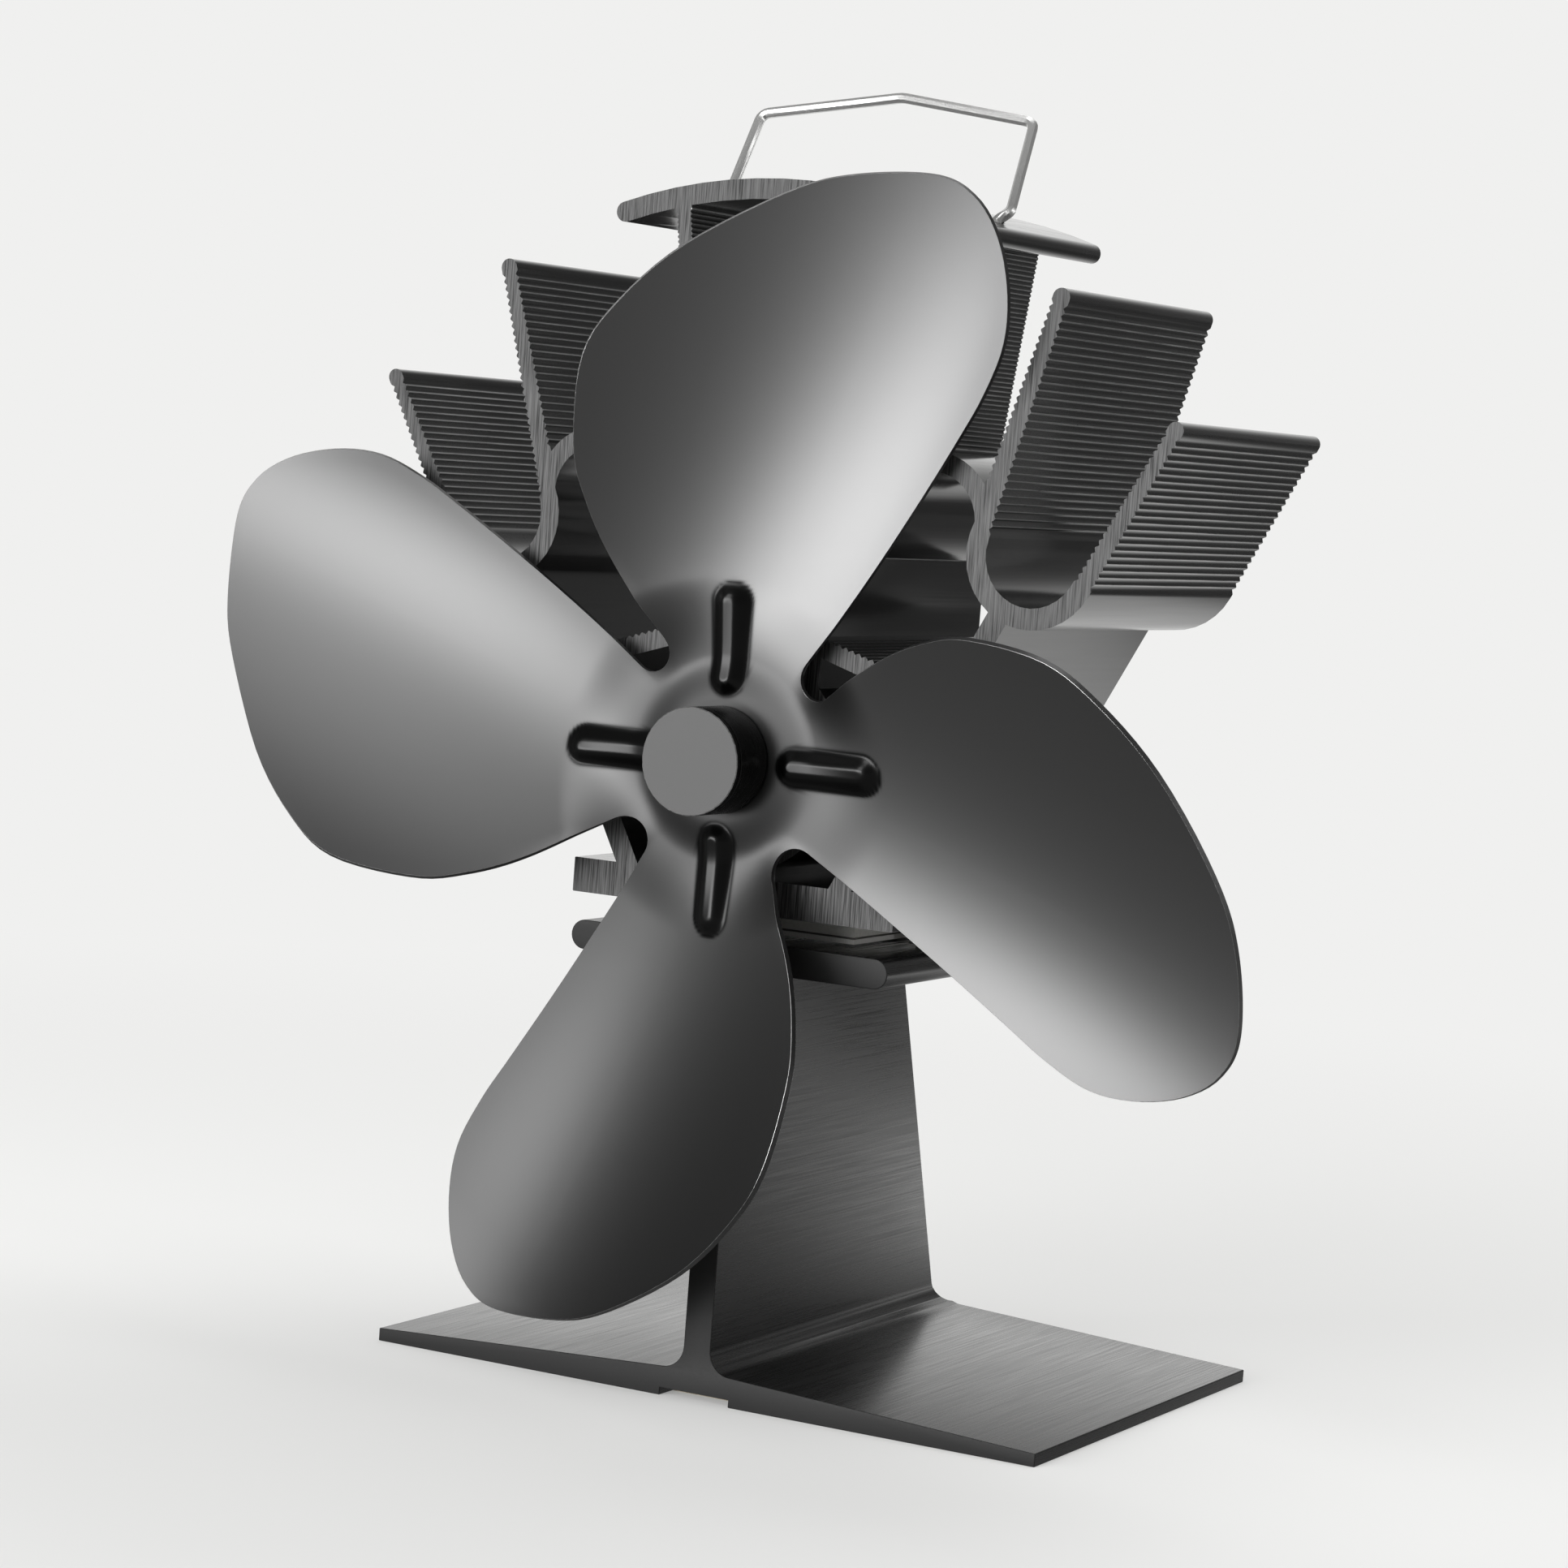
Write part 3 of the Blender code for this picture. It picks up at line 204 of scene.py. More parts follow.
paper = {
    "colour": "#f1f1f0",
    "size": 3.0,
    "haze": 0.30,              # share of plain backdrop tone in the paper near the fan
    "hazeFade": (0.12, 0.50),  # distances between which that share grows to the whole
    "frontDim": 0.83,          # the paper's front lies in less light
    "frontFade": (-0.15, 0.0),
    "evenFade": (0.5, 1.2),    # distances between which the haze gets as bright as the backdrop all round
    "glowFront": 0.25,         # the paper as metal sees it in front of the fan
    "glowBehind": 1.20,        # and behind it
    "glowFarLeft": 1.00,       # and far behind it, on the backdrop's side
    "glowFarRight": 0.12,      # and on the other
    "glowRise": (0.07, 0.19),  # along Y, from front to behind
    "glowFall": (0.27, 0.38),  # along Y, from behind to far behind
    "glowTurn": (-0.12, 0.12),  # along X, from left to right
}


def paperAsSeen(tree, place, parts):
    # lit paper under a haze of the backdrop's tone, thicker with the distance
    distance = addNode(tree, "ShaderNodeVectorMath", {"operation": "LENGTH"}, {0: place.outputs["Object"]})
    fade = smoothRange(tree, distance.outputs["Value"], paper["hazeFade"], paper["haze"], 1.0)
    path = addNode(tree, "ShaderNodeLightPath")
    seen = addNode(tree, "ShaderNodeMath", {"operation": "MAXIMUM"}, {
        0: path.outputs["Is Camera Ray"], 1: path.outputs["Is Transmission Ray"]})
    share = addNode(tree, "ShaderNodeMath", {"operation": "MULTIPLY"}, {0: fade, 1: seen.outputs[0]})
    dim = smoothRange(tree, parts.outputs["Y"], paper["frontFade"], paper["frontDim"], 1.0)
    even = smoothRange(tree, distance.outputs["Value"], paper["evenFade"], dim, 1.0)
    tone = mixed(tree, "RGBA", dim, (0, 0, 0, 1), hexColour(paper["colour"]))
    sheet = addNode(tree, "ShaderNodeBsdfDiffuse", None, {"Color": tone})
    haze = addNode(tree, "ShaderNodeEmission", None, {
        "Color": hexColour(room["background"]), "Strength": even})
    both = addNode(tree, "ShaderNodeMixShader", None, {
        0: share.outputs[0], 1: sheet.outputs[0], 2: haze.outputs[0]})
    return both.outputs[0]


def paperAsMirrored(tree, parts):
    # what the fan's metal mirrors of the paper: dark in front, bright behind, dark again far right
    across, back = parts.outputs["X"], parts.outputs["Y"]
    far = smoothRange(tree, across, paper["glowTurn"], paper["glowFarLeft"], paper["glowFarRight"])
    fall = smoothRange(tree, back, paper["glowFall"], paper["glowBehind"], far)
    glow = smoothRange(tree, back, paper["glowRise"], paper["glowFront"], fall)
    mirrored = addNode(tree, "ShaderNodeEmission", None, {
        "Color": hexColour(paper["colour"]), "Strength": glow})
    return mirrored.outputs[0]


def makeFloor():
    material = bpy.data.materials.new("paleStudioFloor")
    material.use_nodes = True
    tree = material.node_tree
    tree.nodes.clear()
    place = addNode(tree, "ShaderNodeTexCoord")
    parts = addNode(tree, "ShaderNodeSeparateXYZ", None, {"Vector": place.outputs["Object"]})
    path = addNode(tree, "ShaderNodeLightPath")
    whole = addNode(tree, "ShaderNodeMixShader", None, {
        0: path.outputs["Is Glossy Ray"],
        1: paperAsSeen(tree, place, parts), 2: paperAsMirrored(tree, parts)})
    addNode(tree, "ShaderNodeOutputMaterial", None, {"Surface": whole.outputs[0]})
    half = paper["size"] / 2
    corners = [(-half, -half, 0), (half, -half, 0), (half, half, 0), (-half, half, 0)]
    mesh = bpy.data.meshes.new("studioFloor")
    mesh.from_pydata(corners, [], [(0, 1, 2, 3)])
    mesh.materials.append(material)
    floor = bpy.data.objects.new("studioFloor", mesh)
    scene.collection.objects.link(floor)


# Lamps, soft boxes that all look at the fan; sizes in metres, power in watts

lamps = {
    "frontSoftbox": {"place": (-0.232, -0.74, 0.071), "size": (0.608, 0.504), "power": 9.2},
    "highSoftbox": {"place": (-0.10, -0.74, 0.609), "size": (0.41, 0.455), "power": 2.2},
    "topSoftbox": {"place": (0.10, 0.25, 0.95), "size": (0.60, 0.60), "power": 3.5},
    "rightStrip": {"place": (0.85, 0.10, 0.30), "size": (0.15, 0.60), "power": 0.8},
}
lampTarget = (0, 0, 0.10)


def makeLamps():
    for name, lamp in lamps.items():
        data = bpy.data.lights.new(name, "AREA")
        data.shape = "RECTANGLE"
        data.size, data.size_y = lamp["size"]
        data.energy = lamp["power"]
        light = bpy.data.objects.new(name, data)
        light.location = lamp["place"]
        way = Vector(lampTarget) - Vector(lamp["place"])
        light.rotation_euler = way.to_track_quat("-Z", "Y").to_euler()
        scene.collection.objects.link(light)


scene.view_settings.view_transform = "Standard"
makeWorld()
makeFloor()
makeLamps()
print("studio built")


# Materials, each named for what it is made of and how its surface came about

grainRule = {
    "detail": 3.0,
    "roughness": 0.6,
    "tintRange": (0.34, 0.66),  # noise between which the two colours change over
    "glossRange": (0.3, 0.7),   # and the two roughnesses
}


def startMaterial(name, colour, metallic, roughness, ior=None):
    material = bpy.data.materials.new(name)
    material.use_nodes = True
    shader = material.node_tree.nodes["Principled BSDF"]
    shader.inputs["Base Color"].default_value = hexColour(colour)
    shader.inputs["Metallic"].default_value = metallic
    shader.inputs["Roughness"].default_value = roughness
    if ior:
        shader.inputs["IOR"].default_value = ior
    material.diffuse_color = hexColour(colour)
    return material


def grainOn(material, stretch, colours, roughness, bump):
    # noise drawn out along one way: stretch is the grain's size in mm along X, Y and Z,
    # bump its strength and its depth in mm; returns the sockets of colour and roughness
    tree = material.node_tree
    shader = tree.nodes["Principled BSDF"]
    place = addNode(tree, "ShaderNodeTexCoord")
    scaled = addNode(tree, "ShaderNodeMapping", {"vector_type": "POINT"}, {
        "Vector": place.outputs["Object"], "Scale": [1 / (size * mm) for size in stretch]})
    grain = addNode(tree, "ShaderNodeTexNoise", None, {
        "Vector": scaled.outputs["Vector"], "Scale": 1.0,
        "Detail": grainRule["detail"], "Roughness": grainRule["roughness"]})
    tintFrom, tintTo = grainRule["tintRange"]
    depth = addNode(tree, "ShaderNodeMapRange", None, {
        "Value": grain.outputs["Fac"], "From Min": tintFrom, "From Max": tintTo})
    tint = mixed(tree, "RGBA", depth.outputs["Result"], hexColour(colours[0]), hexColour(colours[1]))
    tree.links.new(tint, shader.inputs["Base Color"])
    glossFrom, glossTo = grainRule["glossRange"]
    gloss = addNode(tree, "ShaderNodeMapRange", None, {
        "Value": grain.outputs["Fac"], "From Min": glossFrom, "From Max": glossTo,
        "To Min": roughness[0], "To Max": roughness[1]})
    tree.links.new(gloss.outputs["Result"], shader.inputs["Roughness"])
    relief = addNode(tree, "ShaderNodeBump", None, {
        "Height": grain.outputs["Fac"], "Strength": bump[0], "Distance": bump[1] * mm})
    tree.links.new(relief.outputs["Normal"], shader.inputs["Normal"])
    return tint, gloss.outputs["Result"]


# the sink as it left the press: a dark hard oxide glaze with lines along its length
drawnBlack = startMaterial("blackAnodisedDrawnAluminium", "#101010", 0.0, 0.26, 1.8)
grainOn(drawnBlack, (0.25, 30, 0.25), ("#0b0b0b", "#121212"), (0.15, 0.21), (0.02, 0.02))

# the stand's faces, brushed before anodising: fine streaks from front to back
brushedBlack = startMaterial("blackAnodisedBrushedAluminium", "#101010", 0.0, 0.28, 1.75)
grainOn(brushedBlack, (0.25, 20, 0.25), ("#090909", "#1b1b1b"), (0.22, 0.36), (0.10, 0.03))

# painted highlight: a bright metal hairline on the eased edges along the sink's ribs, around the blades and
# around the hub's cap, standing in for the light their rounded edges catch
highlightEdge = startMaterial("paintedHighlightEdge", "#a0a0a0", 0.9, 0.30)
grainOn(highlightEdge, (0.4, 9, 0.4), ("#8c8c8c", "#b6b6b6"), (0.26, 0.36), (0.05, 0.02))

# the sink's saw-cut ends: the blade's strokes stand upright and catch the light
sawnBlack = startMaterial("blackAnodisedSawnAluminium", "#2c2c2c", 0.6, 0.50)
grainOn(sawnBlack, (0.24, 1, 9), ("#030303", "#5c5c5c"), (0.40, 0.60), (0.6, 0.06))

# the stand's milled ends, finer and darker: a smooth satin black
milledBlack = startMaterial("blackAnodisedMilledAluminium", "#141414", 0.0, 0.62, 1.5)
grainOn(milledBlack, (0.4, 1, 0.4), ("#121212", "#171717"), (0.58, 0.68), (0.05, 0.02))

# the fan's sheet, etched before anodising: soft wide highlights with the finest grain
satinSheet = startMaterial("satinAnodisedAluminiumSheet", "#5a5a5a", 1.0, 0.40)
satinTint, satinGloss = grainOn(satinSheet, (0.12, 0.12, 0.12), ("#565656", "#5e5e5e"),
                                (0.38, 0.42), (0.04, 0.02))

# painted light on the fan's sheet: a sheen painted lighter up and to the right, painted shade over the middle
# and around the beads' feet, and the beads' darker colour and lower roughness
sheetPaintedLightAndGloss = {
    "way": (0.56, 0, 0.83),    # up and to the right
    "length": 0.150,           # along that way, from the darkest painted sheen to the lightest
    "dark": "#3b3b3b",
    "light": "#787878",
    "share": 0.85,             # how much of that painted sheen shows over the grain's own tint
    # the dome and foot colours are painted shade, over the middle and around each bead's foot; the bead
    # colour goes with the beads' lower roughness
    "beadAndShadeMarks": {"dome": "#333333", "bead": "#303030", "foot": "#181818"},
    "beadRoughness": 0.31,
}


def paintLightAndBeadGloss(tree, tint, gloss):
    # painted light: the sheet is painted lighter up and to the right, a painted sheen that brightens the top
    # blade; the middle is painted darker as painted shade, and the beads shine between painted lines of shade
    # around their feet
    shader = tree.nodes["Principled BSDF"]
    place = addNode(tree, "ShaderNodeTexCoord")
    along = addNode(tree, "ShaderNodeVectorMath", {"operation": "DOT_PRODUCT"},
                    {0: place.outputs["Object"], 1: sheetPaintedLightAndGloss["way"]})
    height = addNode(tree, "ShaderNodeMapRange", None, {
        "Value": along.outputs["Value"], "From Min": 0.0, "From Max": sheetPaintedLightAndGloss["length"]})
    # painted sheen: lighter up and to the right
    paintedSheen = mixed(tree, "RGBA", height.outputs["Result"],
                  hexColour(sheetPaintedLightAndGloss["dark"]), hexColour(sheetPaintedLightAndGloss["light"]))
    colour = mixed(tree, "RGBA", sheetPaintedLightAndGloss["share"], tint, paintedSheen)
    # painted shade over the middle and around each bead's foot; the bead mark also darkens and glosses the
    # beads
    for name, code in sheetPaintedLightAndGloss["beadAndShadeMarks"].items():
        mark = addNode(tree, "ShaderNodeAttribute", {"attribute_name": name})
        colour = mixed(tree, "RGBA", mark.outputs["Fac"], colour, hexColour(code))
        if name == "bead":
            shine = mixed(tree, "FLOAT", mark.outputs["Fac"], gloss, sheetPaintedLightAndGloss["beadRoughness"])
            tree.links.new(shine, shader.inputs["Roughness"])
    tree.links.new(colour, shader.inputs["Base Color"])


paintLightAndBeadGloss(satinSheet.node_tree, satinTint, satinGloss)

# the sheet's sheared rim, black and duller than its faces
shearedRim = startMaterial("shearedAnodisedRim", "#1b1b1b", 0.0, 0.35, 1.65)
grainOn(shearedRim, (0.2, 0.2, 0.2), ("#161616", "#212121"), (0.30, 0.42), (0.1, 0.02))

# the hub's turned side: glossy black with the finest rings
turnedBlack = startMaterial("turnedBlackAnodisedAluminium", "#0e0e0e", 0.0, 0.26, 1.6)
grainOn(turnedBlack, (3, 0.10, 3), ("#0b0b0b", "#121212"), (0.24, 0.28), (0.01, 0.01))

# the hub's faced front: an even matt grey
facedGrey = startMaterial("facedGreyAluminium", "#4b4b4b", 0.0, 0.62)
grainOn(facedGrey, (0.10, 0.10, 0.10), ("#484848", "#4e4e4e"), (0.56, 0.64), (0.05, 0.01))

# the handle's drawn stainless wire: a bright line of light along each leg
brightWire = startMaterial("brightDrawnStainlessWire", "#cfcfce", 0.75, 0.22)
grainOn(brightWire, (0.15, 0.15, 0.15), ("#c8c8c7", "#d6d6d5"), (0.18, 0.26), (0.03, 0.01))

# zinc plating on steel: cool and slightly cloudy
zincSteel = startMaterial("zincPlatedSteel", "#a9aaa8", 1.0, 0.32)
grainOn(zincSteel, (0.6, 0.6, 0.6), ("#9c9e9d", "#b4b4b1"), (0.26, 0.40), (0.05, 0.02))

# the module's alumina plates: matt white
whiteCeramic = startMaterial("sinteredAluminaCeramic", "#e3e2dd", 0.0, 0.55)
grainOn(whiteCeramic, (0.2, 0.2, 0.2), ("#dddcd6", "#e9e8e4"), (0.5, 0.62), (0.08, 0.02))

# poured seal around the module: off-white and a little lumpy
whiteSilicone = startMaterial("pouredWhiteSilicone", "#d2d1cb", 0.0, 0.6)
grainOn(whiteSilicone, (0.8, 0.8, 0.8), ("#cbcac3", "#d8d7d2"), (0.5, 0.7), (0.2, 0.05))

# moulded sleeve of the motor: a dull mid grey
greySilicone = startMaterial("mouldedGreySilicone", "#46464a", 0.0, 0.7)
grainOn(greySilicone, (0.5, 0.5, 0.5), ("#404044", "#4c4c50"), (0.62, 0.76), (0.1, 0.03))

# moulded bushes and rear cover: half-matt, nearly black
darkPlastic = startMaterial("mouldedDarkPlastic", "#232120", 0.0, 0.5)
grainOn(darkPlastic, (0.3, 0.3, 0.3), ("#1f1d1c", "#282524"), (0.42, 0.56), (0.1, 0.02))

# nickel on the deep-drawn can: warm bright metal with lines along its draw
nickelSteel = startMaterial("nickelPlatedDeepDrawnSteel", "#b3b0a9", 1.0, 0.26)
grainOn(nickelSteel, (0.4, 6, 0.4), ("#aaa79f", "#bcb9b3"), (0.22, 0.34), (0.05, 0.02))

# pressed and fired magnets: dark, dull and faintly grainy
darkFerrite = startMaterial("sinteredFerrite", "#38383b", 0.0, 0.6)
grainOn(darkFerrite, (0.3, 0.3, 0.3), ("#323235", "#3e3e41"), (0.55, 0.7), (0.15, 0.03))

# porous bearings full of oil: a warm brown metal, half dull
oiledBronze = startMaterial("sinteredBronze", "#a37a4d", 1.0, 0.42)
grainOn(oiledBronze, (0.25, 0.25, 0.25), ("#946b40", "#b08658"), (0.36, 0.5), (0.15, 0.02))

# wound copper, and the brushes and commutator with it: reddish, with fine ridges along X
windingCopper = startMaterial("enamelledCopperWire", "#b0623a", 1.0, 0.32)
grainOn(windingCopper, (6, 0.25, 0.25), ("#a3552f", "#bd6f46"), (0.26, 0.4), (0.3, 0.05))

# the core's stack of stamped sheets: grey, with the sheets' lines across the axis
stampedSteel = startMaterial("stampedCoreSteel", "#6f6f71", 1.0, 0.45)
grainOn(stampedSteel, (4, 0.35, 4), ("#5f5f61", "#7e7e80"), (0.4, 0.52), (0.25, 0.04))

# brass off the lathe: yellow, with fine lines across the axis
turnedBrass = startMaterial("turnedBrass", "#b39356", 1.0, 0.3)
grainOn(turnedBrass, (2, 0.15, 2), ("#a98a4e", "#bd9d60"), (0.24, 0.36), (0.08, 0.02))

# sleeving of the leads, red and black: even and half matt
redSilicone = startMaterial("redSiliconeSleeving", "#8e1f17", 0.0, 0.5)
grainOn(redSilicone, (0.5, 0.5, 0.5), ("#861b14", "#97241b"), (0.42, 0.58), (0.08, 0.02))
blackSilicone = startMaterial("blackSiliconeSleeving", "#1a1a1a", 0.0, 0.5)
grainOn(blackSilicone, (0.5, 0.5, 0.5), ("#161616", "#1f1f1f"), (0.42, 0.58), (0.08, 0.02))

# rolled strip under the foot: pale metal with lines along its length
bimetalSheet = startMaterial("rolledBimetalSheet", "#a89f8d", 1.0, 0.35)
grainOn(bimetalSheet, (0.2, 8, 0.2), ("#9c9380", "#b3aa99"), (0.28, 0.42), (0.08, 0.02))

# the module's legs: dark grey, between metal and stone
tellurideLegs = startMaterial("bismuthTellurideLegs", "#4c4c50", 0.6, 0.45)
grainOn(tellurideLegs, (0.3, 0.3, 0.3), ("#444448", "#545458"), (0.4, 0.55), (0.1, 0.02))
print("materials made:", len(bpy.data.materials))


# The fan: one blade pressed from the sheet by rule, set four times around the hub;
# all its lengths are in mm

fanPlan = {
    "reach": 87.5,             # what the outline's shares count against
    "blades": 4,               # the rules below count on a quarter turn from each to the next
    "thickness": 0.8,
    "rootPlane": -5.0,         # along Y, from the sink's front to the sheet around the hub
    "offset": -0.084, "pitch": 0.138, "camber": -0.700,  # the blade's bend, in shares of its reach
    "rake": 0.154, "twist": 0.439, "sweep": -0.312,
    "blendFrom": 13.0, "blendTo": 26.0,  # off the axis, where the root plane turns into the blade
    "bore": 4.3,               # radius of the hole in the middle
    "domeHeight": 0.9, "domeRadius": 8.4, "domeEdge": 6.6,
    "notchAt": 45,             # degrees from a blade's middle line to the middle between two blades
    "notchRadius": 3.2, "notchReach": 19.3,
    "notchTurn": 3.8,          # degrees, how far the notch is turned past that middle
    "notchBlend": 11.0,        # degrees to both sides, where one blade's surface becomes the next one's
    "beadFrom": 8.9, "beadTo": 25.2, "beadWidth": 5.8, "beadHeight": 1.5,
    "beadSlope": 0.82,         # share of its half width over which a bead rises
    "beadMiddle": 0.446,       # share across the blade where its bead runs
    "beadBand": 0.175,         # finer columns this far to both sides of it
    "columns": (9, 46, 11),    # across the blade: before that band, in it and after it
    "rows": (30, 32),          # along the blade: near the root, and on to the last straight row
    "rootShare": 0.15, "tipShare": 0.88,  # where those two stretches of rows end
    "rings": 50,               # from the bore to the roots
    "notchSteps": 14,
    "beadMark": 1.1, "beadMarkFade": 0.2,  # the shine ends here, in half widths of the bead
    "footMark": 0.10,          # half widths, how wide the painted line of shade around a bead is
    "domeShadeFrom": 9, "domeShadeFade": 16,  # off the axis, where the painted shade over the middle starts to fade, and how far
    "tip": 8.6,                # place of the tip along the edge, counted in its points
    "rim": 0.10,               # eased edge of the cut sheet
    "weld": 0.005,             # corners closer than this are one where the quarters meet
    "sharpFrom": 35,           # degrees
    "outline": (
        (0.309, -0.187), (0.400, -0.222), (0.486, -0.235), (0.627, -0.215), (0.719, -0.159),
        (0.815, -0.060), (0.904, 0.090), (0.938, 0.194), (0.945, 0.325), (0.915, 0.392),
        (0.853, 0.432), (0.770, 0.450), (0.689, 0.445), (0.610, 0.412), (0.542, 0.372),
        (0.446, 0.313), (0.300, 0.222)),
}
hubPoint = Vector(next(joint["pos_m"] for joint in frame["joints"] if joint["name"] == "fan_spin"))


def softStep(value):
    value = min(1, max(0, value))
    return value * value * (3 - 2 * value)


def spread(start, end, count):
    return [start + (end - start) * i / count for i in range(count)]


def standOff(out, side):
    # the sheet's place along Y from the sink's front, in mm; out runs along the blade, side across it
    along = out / fanPlan["reach"]
    across = side / fanPlan["reach"]
    shape = fanPlan["offset"] + fanPlan["pitch"] * across + fanPlan["camber"] * across * across
    shape += fanPlan["rake"] * along + fanPlan["sweep"] * along * along + fanPlan["twist"] * along * across
    blendWidth = fanPlan["blendTo"] - fanPlan["blendFrom"]
    weight = softStep((math.hypot(out, side) - fanPlan["blendFrom"]) / blendWidth)
    return fanPlan["rootPlane"] + (fanPlan["reach"] * shape - fanPlan["rootPlane"]) * weight


def sheetOff(out, side):
    # the blade's own surface, blended across the notch into the next blade's
    hand = math.copysign(1, side)
    turn = hand * math.atan2(side, out)
    start = math.radians(fanPlan["notchAt"] + hand * fanPlan["notchTurn"] - fanPlan["notchBlend"])
    share = softStep((turn - start) / math.radians(2 * fanPlan["notchBlend"]))
    own = standOff(out, side)
    if share == 0:
        return own
    return own + (standOff(hand * side, -hand * out) - own) * share


def beadShare(out, side):
    # distance from the bead's middle line as a share of its half width
    half = fanPlan["beadWidth"] / 2
    nearest = min(max(out, fanPlan["beadFrom"] + half), fanPlan["beadTo"] - half)
    return math.hypot(out - nearest, side) / half


def pressedForm(out, side):
    # what the raised middle and the bead add along Y, below zero because they stand forward
    pastDome = math.hypot(out, side) - fanPlan["domeRadius"]
    dome = fanPlan["domeHeight"] * (1 - softStep(pastDome / fanPlan["domeEdge"]))
    bead = fanPlan["beadHeight"] * softStep((1 - beadShare(out, side)) / fanPlan["beadSlope"])
    return -dome - bead


def alongOutline(points, place):
    # smooth curve through the points, place counts them from zero
    i = min(int(place), len(points) - 2)
    share = place - i
    start = Vector(points[i])
    end = Vector(points[i + 1])
    before = Vector(points[i - 1]) if i > 0 else 2 * start - end
    after = Vector(points[i + 2]) if i + 2 < len(points) else 2 * end - start
    bend = 2 * before - 5 * start + 4 * end - after
    return (2 * start + (end - before) * share + bend * share * share
            + (3 * start - 3 * end + after - before) * share ** 3) / 2


def touchPoint(centre, radius, point):
    # where a line from the point touches the circle; a negative radius takes its other side
    dx, dz = point[0] - centre[0], point[1] - centre[1]
    turn = math.atan2(dz, dx) + math.asin(radius / math.hypot(dx, dz))
    return centre[0] + math.sin(turn) * radius, centre[1] - math.cos(turn) * radius


def bladeEdge():
    # the blade's edge in mm from its left root to its right one, and the centre of the right notch
    lowTurn = math.radians(fanPlan["notchAt"]) - math.radians(fanPlan["notchTurn"])
    highTurn = math.radians(fanPlan["notchAt"]) + math.radians(fanPlan["notchTurn"])
    reach = fanPlan["notchReach"]
    lowNotch = (reach * math.cos(lowTurn), -reach * math.sin(lowTurn))
    highNotch = (reach * math.cos(highTurn), reach * math.sin(highTurn))
    points = [(along * fanPlan["reach"], across * fanPlan["reach"]) for along, across in fanPlan["outline"]]
    leftRoot = touchPoint(lowNotch, -fanPlan["notchRadius"], points[0])
    rightRoot = touchPoint(highNotch, fanPlan["notchRadius"], points[-1])
    return [leftRoot] + points + [rightRoot], highNotch


def notchArc(notch, root, nextRoot):
    # points around the notch, after the blade's right root and up to the next blade's left one
    start = math.atan2(root[1] - notch[1], root[0] - notch[0])
    end = math.atan2(nextRoot[1] - notch[1], nextRoot[0] - notch[0])
    while end > start:
        end -= 2 * math.pi
    steps, radius = fanPlan["notchSteps"], fanPlan["notchRadius"]
    turns = [start + (end - start) * step / steps for step in range(1, steps + 1)]
    return [(notch[0] + radius * math.cos(turn), notch[1] + radius * math.sin(turn)) for turn in turns]


